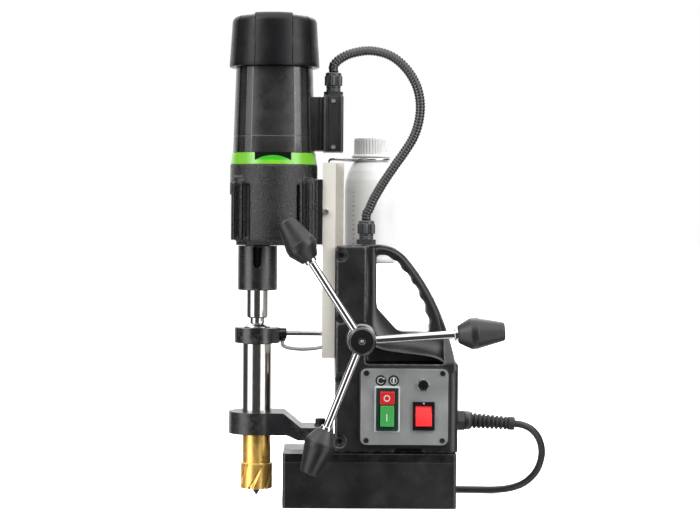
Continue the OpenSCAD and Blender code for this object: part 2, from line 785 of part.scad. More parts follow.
module motor_cap() {
    h = cap_top - motor_top;
    color("#1b1c1e") translate([motor_x, 0, motor_top]) difference() {
        union() {
            cylinder(r1 = 43.3, r2 = 40.4, h = h - 4);
            translate([0, 0, h - 4]) cylinder(r1 = 40.4, r2 = 36, h = 4);
            translate([-17.4, -40.5, h - 4]) cube([34.8, 81, 6]);
            for (s = [-1, 1]) translate([0, s * 22, (h - 2) / 2]) cube([34.8, 44, h - 2], center = true);
        }
        difference() {
            translate([0, 0, -1]) cylinder(r = cap_inner_r, h = h - 2.5);
            translate([0, 0, 31]) cylinder(r = 13, h = h);
        }
        translate([0, 0, 29]) cylinder(r = 9.5, h = 9);
    }
}

module terminal_box() {
    low = box_z[0];
    h = box_z[1] - low;
    color("#18191b") difference() {
        union() {
            translate([-64, -16, low + 1]) cube([20, 32, h - 2]);
            translate([-46, -20, low]) cube([19, 40, h]);
        }
        translate([motor_x, 0, ring_top]) cylinder(r1 = 39.42, r2 = 36.82, h = motor_top - ring_top);
        translate([-60, -12, low + 4]) cube([30, 24, h - 8]);
        translate([motor_gland_x, 0, low + 10]) cylinder(r = 4, h = h);
        for (z = [low + 4.6, low + h - 5])
            to_near(motor_gland_x, -13.5, z) cylinder(r = 1.65, h = 10);
    }
}

// ---- spindle, arbor and cutter ----

taper_top = 232;
taper_r = [10.35, 8.9];

module spindle() {
    color("#1a1b1d") translate([spindle_x, 0, 0]) difference() {
        union() {
            translate([0, 0, 205.4]) cylinder(r = 19.1, h = 42.8);
            translate([0, 0, 248]) cylinder(r = 12, h = 20);
            translate([0, 0, 267]) cylinder(r = spindle_shaft_r, h = 38.5);
            translate([0, 0, 305]) cylinder(r = 4, h = 8.5);
        }
        translate([0, 0, 205.3]) cylinder(r1 = taper_r[0], r2 = taper_r[1], h = taper_top - 205.3);
        translate([0, 0, taper_top - 1]) cylinder(r = taper_r[1], h = 10);
        translate([-4.1, -25, 231]) cube([8.2, 40, 15]);
        to_far(0, -25, 231) cylinder(r = 4.1, h = 40);
    }
}

module arbor() {
    color("#c4c6c8") translate([spindle_x, 0, 0]) difference() {
        union() {
            translate([-6, -2.5, taper_top - 1]) cube([12, 5, 7]);
            translate([0, 0, 205.3]) cylinder(r1 = taper_r[0], r2 = taper_r[1], h = taper_top - 205.3);
            translate([0, 0, 178.4]) cylinder(r = taper_r[0], h = 27);
            translate([0, 0, 172]) cylinder(r = 7, h = 7);
            translate([0, 0, 169.6]) cylinder(r1 = 12.8, r2 = 9, h = 4);
            translate([0, 0, 154]) cylinder(r = 12, h = 16);
            translate([0, 0, arbor_end]) cylinder(r = arbor_r, h = barrel_top - arbor_end);
        }
        translate([0, 0, arbor_end - 1]) cylinder(r = cutter_shank_d / 2, h = 33);
        translate([0, 0, arbor_end]) cylinder(r = 7, h = spring_top - arbor_end);
    }
}

module cutter() {
    color("#d6a83c") translate([spindle_x, 0, 0]) difference() {
        union() {
            translate([0, 0, arbor_end - 1]) cylinder(r = cutter_shank_d / 2, h = 33);
            translate([0, 0, cutter_step]) cylinder(r = 13.6, h = arbor_end - cutter_step);
            translate([0, 0, cutter_bottom]) cylinder(r = cutter_r, h = cutter_step - cutter_bottom);
        }
        translate([0, 0, cutter_bottom - 1]) cylinder(r = 10.6, h = 32);
        translate([0, 0, 30]) cylinder(r = pilot_r + 0.08, h = 90);
        for (a = [0:60:300]) rotate(a) translate([cutter_r - 1.6, 0, cutter_bottom + 8])
            rotate([-18, 0, 0]) translate([0, -1.6, -16]) cube([6, 3.2, 32]);
    }
}

module pilot_pin() {
    color("#2a2b2d") translate([spindle_x, 0, 0]) {
        translate([0, 0, pilot_tip]) cylinder(r1 = 0.4, r2 = pilot_r, h = 4.5);
        translate([0, 0, pilot_tip + 4.4]) cylinder(r = pilot_r, h = pilot_top - pilot_tip - 4.4);
        translate([0, 0, pilot_top - 3]) cylinder(r = 6.2, h = 3);
    }
}

spring_wire = 0.8;
spring_turns = 10;

// Turns that touch their neighbours through short risers
module ejector_spring() {
    pitch = (spring_top - pilot_top - 2 * spring_wire) / (spring_turns - 1);
    color("#8c8f92") translate([spindle_x, 0, pilot_top + spring_wire])
        for (i = [0:spring_turns - 1]) {
            translate([0, 0, i * pitch]) rotate_extrude() translate([5, 0]) circle(r = spring_wire);
            if (i > 0) rotate(137 * i) translate([5, 0, (i - 1) * pitch]) cylinder(r = spring_wire * 0.9, h = pitch);
        }
}

// ---- coolant ----

module coolant_ring() {
    color("#1c1d1f") difference() {
        union() {
            translate([spindle_x, 0, coolant_z[0]]) cylinder(r = 22, h = coolant_z[1] - coolant_z[0]);
            translate([spindle_x + 18, 0, coolant_rod_z]) rotate([0, 90, 0]) cylinder(r = 5.3, h = 10.4);
            translate([-84, 0, 156.4]) cylinder(r = 3, h = 6);
        }
        translate([spindle_x, 0, coolant_z[0] - 1]) cylinder(r = 12.3, h = 30);
        translate([-86, 0, coolant_rod_z]) rotate([0, 90, 0]) cylinder(r = 2.5, h = 20);
    }
}

module torque_rod() {
    color("#8b8e91") translate([-85, 0, coolant_rod_z]) rotate([0, 90, 0])
        cylinder(r = 2.48, h = 46);
}

hose_points = [
    [-84, 0, 156.35], [-84, 0.4, 153.6], [-82.6, 4, 151], [-78, 10, 149], [-70, 17, 147.5], [-61, 24, 147], [-51, 31, 147.5],
    [-40, 37, 150], [-28, 41, 156], [-17, 46, 167], [-8, 52, 182], [-2, 57, 200], [1, 60, 214],
    [bottle_at.x, bottle_at.y, 224]];

module coolant_hose() {
    color("#dfe3e4") tube(smooth(hose_points, 3), 2.1, 8, [1, -1, 0.2]);
}

bottle_low = 230.6;
neck_r = 16.6;

module coolant_bottle() {
    color("#efefee") translate([bottle_at.x, bottle_at.y, 0]) {
        rotate_extrude() difference() {
            polygon([[0, bottle_low], [bottle_r - 3, bottle_low], [bottle_r, bottle_low + 3],
                [bottle_r, 302], [25, 313], [22.4, 322], [18.7, 329], [neck_r, 331], [neck_r, 335.4],
                [14, 335.4], [14, 346], [0, 346]]);
            polygon([[-1, bottle_low + 1.6], [bottle_r - 3.6, bottle_low + 1.6],
                [bottle_r - 1.6, bottle_low + 4], [bottle_r - 1.6, 301], [23.4, 312], [20.8, 320],
                [17.1, 327.6], [12.4, 330], [12.4, 350], [-1, 350]]);
        }
        translate([0, 0, 224]) cylinder(r = 2.8, h = 7);
    }
}

module bottle_cap() {
    color("#f2f2f1") translate([bottle_at.x, bottle_at.y, 0]) difference() {
        union() {
            translate([0, 0, 335.4]) cylinder(r = 19.4, h = 2);
            translate([0, 0, 337]) cylinder(r = 17, h = 18.6);
        }
        translate([0, 0, 335]) cylinder(r = 14, h = 18.4);
    }
}

wire_r = 1.5;
holder_points = [
    [-40, 10, slide_top - 6], [-40, 10, slide_top + 1], [-39, 12, slide_top + 3.6], [-35, 17, neck_z + 0.2],
    [-26, 30, neck_z], [-17.5, 45, neck_z]];

module bottle_holder() {
    color("#b9bcbf") {
        tube(smooth(holder_points, 3), wire_r, 10, [1, 1, 0]);
        translate([bottle_at.x, bottle_at.y, neck_z + 1.2])
            rotate_extrude() translate([neck_r + 1.7, 0]) circle(r = wire_r);
    }
}

// ---- capstan ----

module pinion_shaft() {
    color("#a8aaad") {
        to_far(feed_x, -74, feed_z) cylinder(r = shaft_r, h = 66.5);
        to_far(feed_x, 7.5, feed_z) cylinder(r = shaft_r, h = 14);
        slab(8, 16) translate([feed_x, feed_z]) rotate(180) gear_outline(pinion_teeth, feed_module);
    }
}

module capstan_hub() {
    color("#cfd1d4") difference() {
        union() {
            to_far(feed_x, hub_y + 1.5, feed_z) cylinder(r = 13, h = 32);
            to_far(feed_x, -column_half_w - 13, feed_z) cylinder(r = 14.8, h = 12.4);
            to_far(feed_x, hub_y, feed_z) cylinder(r = 12, h = 2);
        }
        to_far(feed_x, -74, feed_z) cylinder(r = shaft_r, h = 60);
        for (i = [0:2]) lever(i) translate([0, 0, 5]) cylinder(r = 3.75, h = 20);
    }
}

module lever(i) {
    translate([feed_x, lever_y, feed_z]) rotate([0, 90 - lever_angles[i], 0]) children();
}

knob_inner = lever_reach - 44;

module feed_levers() {
    color("#d6d8da") difference() {
        for (i = [0:2]) lever(i) translate([0, 0, 6]) cylinder(r = 3.72, h = knob_inner + 20);
        to_far(feed_x, -74, feed_z) cylinder(r = shaft_r, h = 60);
    }
}

module lever_knobs() {
    color("#26282a") for (i = [0:2]) lever(i) translate([0, 0, knob_inner]) difference() {
        rotate_extrude() polygon([[0, 0], [8, 0], [9.6, 1.2], [14.2, 11], [14.8, 15], [14.6, 19],
            [10, 40], [7.6, 44], [0, 44]]);
        translate([0, 0, -1]) cylinder(r = 3.73, h = 28);
    }
}

magnet_body();
magnet_coils();
coil_potting();
base_plate();
column_casting();
side_cover();
gib_strip();
shaft_bushes();
cap_screws();
support_bracket();
panel_gasket();
panel_plate();
panel_screws();
motor_switch();
stop_button();
start_button();
magnet_switch();
magnet_rocker();
fuse_holder();
fuse_cap();
control_board();
column_gland();
cable_conduit();
motor_gland();
cord_gland();
power_cord();
cord_coil();
plug();
slide_bar();
feed_rack();
back_plate();
head_screws();
gearbox_housing();
bearing_plate();
bearings();
motor_ring();
motor_housing();
stator();
motor_brushes();
motor_cap();
terminal_box();
armature();
cooling_fan();
idler_gear();
spindle();
output_gear();
arbor();
cutter();
pilot_pin();
ejector_spring();
coolant_ring();
torque_rod();
coolant_hose();
coolant_bottle();
bottle_cap();
bottle_holder();
pinion_shaft();
capstan_hub();
feed_levers();
lever_knobs();
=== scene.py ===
import json
import math

import bpy
from mathutils import Matrix, Vector

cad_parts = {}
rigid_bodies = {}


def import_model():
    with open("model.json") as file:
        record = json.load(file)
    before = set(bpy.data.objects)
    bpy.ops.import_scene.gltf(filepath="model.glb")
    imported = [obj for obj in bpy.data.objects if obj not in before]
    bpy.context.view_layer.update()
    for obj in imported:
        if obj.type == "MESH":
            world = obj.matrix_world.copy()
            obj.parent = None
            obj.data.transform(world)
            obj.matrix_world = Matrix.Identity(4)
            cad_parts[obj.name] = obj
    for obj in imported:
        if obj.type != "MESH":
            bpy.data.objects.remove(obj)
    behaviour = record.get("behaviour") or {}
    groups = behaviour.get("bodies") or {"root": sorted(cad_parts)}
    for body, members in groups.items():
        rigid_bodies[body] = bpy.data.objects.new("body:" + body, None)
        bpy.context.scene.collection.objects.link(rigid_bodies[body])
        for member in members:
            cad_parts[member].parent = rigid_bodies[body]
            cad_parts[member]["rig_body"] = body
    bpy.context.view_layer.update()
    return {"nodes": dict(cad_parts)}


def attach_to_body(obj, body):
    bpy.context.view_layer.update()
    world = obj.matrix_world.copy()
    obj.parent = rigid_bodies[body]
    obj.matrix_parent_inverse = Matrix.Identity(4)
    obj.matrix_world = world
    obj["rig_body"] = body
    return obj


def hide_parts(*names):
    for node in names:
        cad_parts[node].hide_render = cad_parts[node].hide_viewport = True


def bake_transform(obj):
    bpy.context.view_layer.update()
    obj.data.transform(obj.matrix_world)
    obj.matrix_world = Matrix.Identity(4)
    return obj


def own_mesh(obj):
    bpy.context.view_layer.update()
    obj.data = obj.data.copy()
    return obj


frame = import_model()
nodes = frame["nodes"]
MM = 0.001


# ---- shader nodes

def new_material(name):
    material = bpy.data.materials.new(name)
    material.use_nodes = True
    tree = material.node_tree
    return material, tree, tree.nodes["Principled BSDF"]


def add(tree, kind, links=(), **values):
    """A shader node with socket values, and links as (own input, source output)."""
    node = tree.nodes.new(kind)
    for key, value in values.items():
        if hasattr(node, key):
            setattr(node, key, value)
        else:
            node.inputs[key.replace("_", " ")].default_value = value
    for socket, source in links:
        tree.links.new(source, node.inputs[socket])
    return node


def put(node, **values):
    """Sets a node's own sockets by name."""
    for key, value in values.items():
        node.inputs[key.replace("_", " ")].default_value = value


# ---- camera, light and floor

def show(thing):
    bpy.context.scene.collection.objects.link(thing)


CAMERA_AT = (-0.0487, -1.882, 0.2811)
CAMERA_TURNS = (0.89, 1.48, 0.45)
LENS_MM = 100.3


def make_camera():
    data = bpy.data.cameras.new("camera")
    data.lens = LENS_MM
    data.sensor_width = 36
    data.clip_start = 0.05
    data.clip_end = 60
    camera = bpy.data.objects.new("camera", data)
    yaw, pitch, roll = (math.radians(turn) for turn in CAMERA_TURNS)
    camera.matrix_world = (
        Matrix.Translation(CAMERA_AT)
        @ Matrix.Rotation(-yaw, 4, "Z")
        @ Matrix.Rotation(math.pi / 2 - pitch, 4, "X")
        @ Matrix.Rotation(roll, 4, "Z")
    )
    show(camera)
    bpy.context.scene.camera = camera


def area_light(name, place, target, size, power):
    data = bpy.data.lights.new(name, "AREA")
    data.shape = "RECTANGLE"
    data.size, data.size_y = size
    data.energy = power
    light = bpy.data.objects.new(name, data)
    light.location = place
    direction = Vector(target) - Vector(place)
    light.rotation_euler = direction.to_track_quat("-Z", "Y").to_euler()
    show(light)


def shader_math(tree, operation, *inputs):
    """A math node; each input is a number or another node's output."""
    node = tree.nodes.new("ShaderNodeMath")
    node.operation = operation
    for socket, value in zip(node.inputs, inputs):
        if isinstance(value, (int, float)):
            socket.default_value = value
        else:
            tree.links.new(value, socket)
    return node.outputs["Value"]


def smooth_range(tree, value, low, high):
    node = add(tree, "ShaderNodeMapRange", [("Value", value)], interpolation_type="SMOOTHSTEP")
    put(node, From_Min=low, From_Max=high)
    return node.outputs["Result"]


ROOM_DARK = 0.09
RIGHT_LIGHT = 3.3
LEFT_LIGHT = 3.1
BACK_LIGHT = 1.2
TOP_LIGHT = 2.6
FLOOR_GLOW = 0.42
FLOOR_DARK = 0.06
FLOOR_SEEN = 0.8


def make_room():
    """A photo studio: dark in front, soft upright lights to both sides and overhead, white where the camera looks."""
    world = bpy.data.worlds.new("studio")
    bpy.context.scene.world = world
    world.use_nodes = True
    tree = world.node_tree
    shade = tree.nodes["Background"]
    shade.inputs["Color"].default_value = (1, 1, 1, 1)
    place = tree.nodes.new("ShaderNodeTexCoord")
    split = tree.nodes.new("ShaderNodeSeparateXYZ")
    tree.links.new(place.outputs["Generated"], split.inputs["Vector"])

    def calc(operation, *inputs):
        return shader_math(tree, operation, *inputs)

    ahead = calc("MULTIPLY", split.outputs["Y"], -1.0)
    turn = calc("ARCTAN2", split.outputs["X"], ahead)
    turn = calc("MULTIPLY", turn, 180 / math.pi)

    def band(value, rise, fall, power):
        up = smooth_range(tree, value, *rise)
        down = calc("SUBTRACT", 1.0, smooth_range(tree, value, *fall))
        return calc("MULTIPLY", calc("MULTIPLY", up, down), power)

    other = calc("MULTIPLY", turn, -1.0)
    either = calc("ABSOLUTE", turn)
    right = band(turn, (27, 37), (58, 72), RIGHT_LIGHT)
    around = calc("ADD", right, band(other, (31, 42), (66, 82), LEFT_LIGHT))
    around = calc("ADD", around, band(either, (126, 142), (190, 200), BACK_LIGHT))
    low = calc("SUBTRACT", 1.0, smooth_range(tree, split.outputs["Z"], 0.6, 0.9))
    around = calc("MULTIPLY", around, low)
    over = calc("MULTIPLY", smooth_range(tree, split.outputs["Z"], 0.42, 0.8), TOP_LIGHT)
    total = calc("ADD", calc("ADD", around, over), ROOM_DARK)
    seen = tree.nodes.new("ShaderNodeLightPath").outputs["Is Camera Ray"]
    rest = calc("SUBTRACT", 1.0, seen)
    strength = calc("ADD", calc("MULTIPLY", total, rest), seen)
    tree.links.new(strength, shade.inputs["Strength"])


def make_floor():
    side = 14
    floor = bpy.data.meshes.new("floor")
    floor.from_pydata([(-side, -side, 0), (side, -side, 0), (side, side, 0), (-side, side, 0)], [], [(0, 1, 2, 3)])
    ground = bpy.data.objects.new("floor", floor)
    show(ground)
    ground.visible_glossy = False
    paint, tree, shader = new_material("floor_paint")
    put(shader, Roughness=0.9, Specular_IOR_Level=0.1, Emission_Color=(1, 1, 1, 1))
    seen = tree.nodes.new("ShaderNodeLightPath").outputs["Is Camera Ray"]
    tree.links.new(shader_math(tree, "MULTIPLY", seen, FLOOR_GLOW), shader.inputs["Emission Strength"])
    tint = tree.nodes.new("ShaderNodeCombineColor")
    pale = shader_math(tree, "ADD", shader_math(tree, "MULTIPLY", seen, FLOOR_SEEN), FLOOR_DARK)
    for channel in tint.inputs:
        tree.links.new(pale, channel)
    tree.links.new(tint.outputs["Color"], shader.inputs["Base Color"])
    floor.materials.append(paint)


def make_studio():
    bpy.context.scene.view_settings.view_transform = "Standard"
    make_room()
    make_floor()
    aim = (0, 0, 0.22)
    area_light("key", (-1.7, -1.1, 1.5), aim, (0.7, 1.4), 16)
    area_light("fill", (1.9, -0.9, 1.1), aim, (0.7, 1.6), 18)
    area_light("back", (0.3, 1.6, 1.5), aim, (1.2, 0.8), 8)


make_camera()
make_studio()


# ---- materials

def noise(tree, place, scale, detail, roughness=0.5):
    node = add(tree, "ShaderNodeTexNoise", [("Vector", place)], Scale=scale, Detail=detail, Roughness=roughness)
    return node.outputs["Fac"]


def overlay(tree, under, mask, color):
    """A colour laid over another where the mask is 1."""
    mix = add(tree, "ShaderNodeMix", [("Factor", mask)], data_type="RGBA")
    tree.links.new(under, mix.inputs[6])
    mix.inputs[7].default_value = (*color, 1)
    return mix.outputs[2]


def relief(tree, height, strength, distance, under=None):
    """A bump's normal, laid over another one when given."""
    bump = add(tree, "ShaderNodeBump", [("Height", height)])
    put(bump, Strength=strength, Distance=distance)
    if under:
        tree.links.new(under, bump.inputs["Normal"])
    return bump.outputs["Normal"]


def coordinates(tree, stretch=(1, 1, 1)):
    place = add(tree, "ShaderNodeTexCoord")
    mapping = add(tree, "ShaderNodeMapping", [("Vector", place.outputs["Object"])])
    mapping.inputs["Scale"].default_value = stretch
    return mapping.outputs["Vector"]


def ramp(tree, source, low, high, at=(0.3, 0.7)):
    node = add(tree, "ShaderNodeValToRGB", [("Fac", source)])
    node.color_ramp.elements[0].position = at[0]
    node.color_ramp.elements[1].position = at[1]
    node.color_ramp.elements[0].color = low if hasattr(low, "__len__") else (low, low, low, 1)
    node.color_ramp.elements[1].color = high if hasattr(high, "__len__") else (high, high, high, 1)
    return node.outputs["Color"]


def edge_wear_and_highlight(tree, strength=0.5, sharp=(0.53, 0.62)):
    """1 along convex edges, broken up by noise, and 0 elsewhere. It marks real edge wear on some finishes and painted
    edge highlights on others.
    """
    shape = add(tree, "ShaderNodeNewGeometry")
    edge = add(tree, "ShaderNodeMapRange", [("Value", shape.outputs["Pointiness"])])
    put(edge, From_Min=sharp[0], From_Max=sharp[1])
    spots = ramp(tree, noise(tree, coordinates(tree), 260.0, 5.0), 0, strength, (0.42, 0.66))
    both = add(tree, "ShaderNodeMath", [(0, edge.outputs["Result"]), (1, spots)], operation="MULTIPLY")
    return both.outputs["Value"]


DUST_COLOR = (0.32, 0.31, 0.3)


def surface(
    name, color, rough, metal=0.0, shade=0.12, blotch=26.0, rough_range=0.08,
    grain=0.0, grain_size=0.6, grain_stretch=(1, 1, 1), lines=0.0, lines_stretch=None,
    coat=0.0, specular=0.5, wear_and_highlight=0.0, wear_and_highlight_color=(0.3, 0.3, 0.3), dust=0.0, sharp=(0.53, 0.62),
):
    """A finish whose colour, roughness and fine relief all vary over the surface. Sizes are in millimetres."""
    material, tree, shader = new_material(name)
    link = tree.links.new
    spot = coordinates(tree)
    dark = [c * (1 - shade) for c in color] + [1]
    light = [min(c * (1 + shade), 1) for c in color] + [1]
    tint = ramp(tree, noise(tree, spot, 1000 / blotch, 6.0, 0.6), dark, light)
    if dust:
        film = ramp(tree, noise(tree, spot, 70.0, 8.0, 0.7), 0, dust, (0.5, 0.78))
        tint = overlay(tree, tint, film, DUST_COLOR)
    # Convex edges tinted by the wear colour: real edge wear on some finishes, a painted edge highlight on the
    # castings, spindle nose and bracket.
    if wear_and_highlight:
        tint = overlay(tree, tint, edge_wear_and_highlight(tree, wear_and_highlight, sharp), wear_and_highlight_color)
    link(tint, shader.inputs["Base Color"])
    polish = noise(tree, spot, 1700 / blotch, 5.0)
    rough_low, rough_high = max(rough - rough_range, 0.02), min(rough + rough_range, 1)
    link(ramp(tree, polish, rough_low, rough_high), shader.inputs["Roughness"])
    put(shader, Metallic=metal, Specular_IOR_Level=specular, Coat_Weight=coat, Coat_Roughness=0.12)
    normal = None
    if grain:
        fine = noise(tree, coordinates(tree, grain_stretch), 1000 / grain_size, 3.0, 0.55)
        normal = relief(tree, fine, min(grain, 1.0), grain_size * 0.35 * MM * max(grain, 1.0))
    if lines:
        streak = noise(tree, coordinates(tree, lines_stretch), 1000.0, 4.0, 0.6)
        normal = relief(tree, streak, lines, 0.05 * MM, normal)
    if normal:
        link(normal, shader.inputs["Normal"])
    return material


# Its lighter convex edges are painted edge highlights.
cast_black = surface(
    "cast_black", (0.008, 0.0082, 0.0083), 0.3, grain=1.5, grain_size=1.3, shade=0.2, specular=0.48,
    wear_and_highlight=0.5, wear_and_highlight_color=(0.1, 0.1, 0.1), sharp=(0.512, 0.56),
)
# Its lighter convex edges are painted edge highlights along the handle, rib and recess.
column_black = surface(
    "column_black", (0.008, 0.0083, 0.0086), 0.34, grain=0.8, grain_size=0.8, shade=0.25, specular=0.55,
    wear_and_highlight=0.9, wear_and_highlight_color=(0.15, 0.15, 0.152), sharp=(0.512, 0.555),
)
magnet_black = surface(
    "magnet_black", (0.0075, 0.0078, 0.008), 0.4, shade=0.3, blotch=40, lines=0.5, lines_stretch=(0.05, 0.05, 1.2),
    wear_and_highlight=0.5, wear_and_highlight_color=(0.13, 0.13, 0.135), dust=0.05,
)
plate_black = surface(
    "plate_black", (0.005, 0.0052, 0.0055), 0.26, shade=0.25, grain=0.6, grain_size=0.8,
    wear_and_highlight=0.6, wear_and_highlight_color=(0.2, 0.2, 0.205), dust=0.06,
)
motor_black = surface(
    "motor_black", (0.015, 0.0152, 0.0148), 0.29, grain=0.4, grain_size=0.45, shade=0.1, specular=0.95,
)
cap_black = surface(
    "cap_black", (0.006, 0.0063, 0.0072), 0.33, grain=0.6, grain_size=0.5, specular=0.22,
)
box_black = surface("box_black", (0.014, 0.0145, 0.0155), 0.36, grain=0.5, grain_size=0.5)
oxide_black = surface(
    "oxide_black", (0.02, 0.02, 0.022), 0.36, 0.35, shade=0.3, blotch=6, wear_and_highlight=0.5, wear_and_highlight_color=(0.62, 0.62, 0.63),
)
# Its lighter rims, round the slots too, are painted highlights.
nose_black = surface(
    "nose_black", (0.014, 0.0138, 0.0135), 0.3, 0.15, grain=0.25, shade=0.15, blotch=14, specular=0.75,
    wear_and_highlight=0.9, wear_and_highlight_color=(0.3, 0.29, 0.28), sharp=(0.52, 0.58),
)
gloss_black = surface("gloss_black", (0.008, 0.008, 0.009), 0.2, grain=0.15, grain_size=0.4, coat=0.2)
knob_grey = surface(
    "knob_grey", (0.013, 0.0133, 0.014), 0.38, grain=0.6, grain_size=0.55, specular=0.38,
    wear_and_highlight=0.3, wear_and_highlight_color=(0.09, 0.09, 0.09), sharp=(0.515, 0.56),
)
rubber = surface("rubber", (0.016, 0.016, 0.017), 0.55, grain=0.7, grain_size=0.5, shade=0.18, specular=0.4)
cord_rubber = surface("cord_rubber", (0.012, 0.012, 0.013), 0.48, grain=0.4, specular=0.45)
conduit_black = surface("conduit_black", (0.013, 0.013, 0.0135), 0.3, grain=0.2, grain_size=0.5, specular=0.6)
gland_grey = surface(
    "gland_grey", (0.03, 0.034, 0.036), 0.34, grain=0.3, grain_size=0.5, shade=0.2, specular=0.55,
    wear_and_highlight=0.3, wear_and_highlight_color=(0.2, 0.21, 0.22),
)
lime = surface("lime", (0.16, 0.48, 0.03), 0.26, grain=0.25, grain_size=0.5, shade=0.06, coat=0.15)
# A darker copy of the ring's green for the scoop inside the slots: painted shade.
lime_shaded = surface("lime_shaded", (0.04, 0.42, 0.01), 0.35, grain=0.2, grain_size=0.5, shade=0.1)
# Near-black standing in for the shadow inside the ring's air slots: painted shade.
shadow_black = surface("shadow_black", (0.0015, 0.0015, 0.0015), 0.7, shade=0.1, grain=0.2, specular=0.1)
ring_black = surface(
    "ring_black", (0.009, 0.009, 0.0095), 0.24, grain=0.25, shade=0.15, specular=0.6,
    wear_and_highlight=0.3, wear_and_highlight_color=(0.16, 0.16, 0.165),
)
# Its lighter edges are painted edge highlights.
bracket_black = surface(
    "bracket_black", (0.011, 0.0115, 0.0125), 0.3, grain=0.5, grain_size=1.1, shade=0.2,
    wear_and_highlight=0.9, wear_and_highlight_color=(0.16, 0.165, 0.17), sharp=(0.515, 0.58),
)
brushed = surface(
    "brushed", (0.56, 0.57, 0.575), 0.38, 0.8, shade=0.08, blotch=30, lines=0.35, lines_stretch=(0.04, 1, 1.6),
    rough_range=0.06,
)
ground = surface(
    "ground", (0.5, 0.492, 0.48), 0.15, 1.0, shade=0.05, blotch=12, lines=0.08, lines_stretch=(0.02, 0.02, 2.2),
    rough_range=0.04,
)
chrome = surface("chrome", (0.5, 0.505, 0.512), 0.085, 1.0, shade=0.03, blotch=20, rough_range=0.035)
hub_chrome = surface("hub_chrome", (0.16, 0.16, 0.165), 0.24, 1.0, shade=0.06, rough_range=0.05)
satin_chrome = surface("satin_chrome", (0.6, 0.605, 0.61), 0.2, 1.0, shade=0.05, rough_range=0.05)
zinc = surface("zinc", (0.5, 0.5, 0.5), 0.34, 1.0, shade=0.15, blotch=4, grain=0.3, grain_size=0.4)
gold = surface(
    "gold", (0.86, 0.53, 0.14), 0.34, 0.72, blotch=9, lines=0.3, lines_stretch=(0.05, 0.05, 1.8),
    rough_range=0.09,
)
carbide_dark = surface("carbide_dark", (0.03, 0.028, 0.027), 0.35, 0.6, shade=0.25, blotch=5)
ivory = surface(
    "ivory", (0.66, 0.635, 0.575), 0.42, shade=0.05, blotch=60, lines=0.25, lines_stretch=(0.5, 0.5, 0.03),
    wear_and_highlight=0.2, wear_and_highlight_color=(0.36, 0.35, 0.33), specular=0.45,
)
steel_plain = surface(
    "steel_plain", (0.42, 0.42, 0.42), 0.36, 1.0, blotch=8, lines=0.25, lines_stretch=(1, 1, 0.08),
)
bronze = surface("bronze", (0.55, 0.33, 0.14), 0.4, 0.9, shade=0.2, blotch=7, grain=0.2)
copper = surface(
    "copper", (0.5, 0.19, 0.07), 0.35, 0.8, shade=0.2, blotch=6, lines=0.8, lines_stretch=(0.1, 0.1, 1.2),
)
resin = surface("resin", (0.05, 0.03, 0.02), 0.3, shade=0.25, blotch=14, grain=0.2)
board_green = surface("board_green", (0.02, 0.13, 0.06), 0.35, shade=0.25, blotch=5, coat=0.2)
white_plastic = surface("white_plastic", (0.8, 0.8, 0.79), 0.4, shade=0.04, grain=0.3, grain_size=0.7, specular=0.45)
dark_print = surface("dark_print", (0.012, 0.012, 0.013), 0.45, shade=0.1)
white_print = surface("white_print", (0.75, 0.75, 0.74), 0.5, shade=0.05)
red_plastic = surface("red_plastic", (0.62, 0.02, 0.022), 0.3, grain=0.15, grain_size=0.5, shade=0.1, coat=0.25)
lamp_red = surface("lamp_red", (0.8, 0.02, 0.025), 0.22, grain=0.3, grain_size=1.1, shade=0.16, coat=0.4)
green_plastic = surface("green_plastic", (0.05, 0.33, 0.075), 0.34, grain=0.15, grain_size=0.5, shade=0.1, coat=0.2)
frame_green = surface("frame_green", (0.012, 0.035, 0.026), 0.3, shade=0.1, coat=0.2)
clear_frame = surface("clear_frame", (0.62, 0.64, 0.64), 0.22, shade=0.04, coat=0.4)
for lit, shine, amount in (
    (lamp_red, (0.9, 0.03, 0.03, 1), 0.35), (green_plastic, (0.1, 0.6, 0.15, 1), 0.05),
):
    put(lit.node_tree.nodes["Principled BSDF"], Emission_Color=shine, Emission_Strength=amount)


def translucent(name, color, rough, through, thick):
    material = surface(name, color, rough, shade=0.04, grain=0.25, grain_size=1.4, specular=0.45)
    shader = material.node_tree.nodes["Principled BSDF"]
    put(shader, Subsurface_Weight=through, Subsurface_Radius=(1, 1, 0.95), Subsurface_Scale=thick)
    return material


bottle_white = translucent("bottle_white", (0.86, 0.86, 0.855), 0.38, 0.35, 0.006)
hose_clear = translucent("hose_clear", (0.78, 0.8, 0.8), 0.25, 0.5, 0.003)


# ---- mesh building

def circle(sides):
    """The angles of a circle's corners."""
    return [2 * math.pi * k / sides for k in range(sides)]


def mesh_object(name, verts, faces, material, flat=False):
    """An object whose corners are given in millimetres."""
    mesh = bpy.data.meshes.new(name)
    mesh.from_pydata([tuple(c * MM for c in v) for v in verts], [], faces)
    mesh.materials.append(material)
    mesh.validate()
    for polygon in mesh.polygons:
        polygon.use_smooth = not flat
    made = bpy.data.objects.new(name, mesh)
    show(made)
    return made


def sharpen(piece, angle=32):
    """Smooth shading that keeps edges sharper than this angle."""
    piece.data.set_sharp_from_angle(angle=math.radians(angle))
    return piece


def attach(piece, node, hide=True):
    """A new piece that moves with a CAD node and, unless hide is off, is shown in its place."""
    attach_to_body(piece, nodes[node]["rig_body"])
    if hide:
        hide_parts(node)
    return piece


def extra(piece, node):
    """A further piece of a CAD node."""
    return attach(piece, node, hide=False)


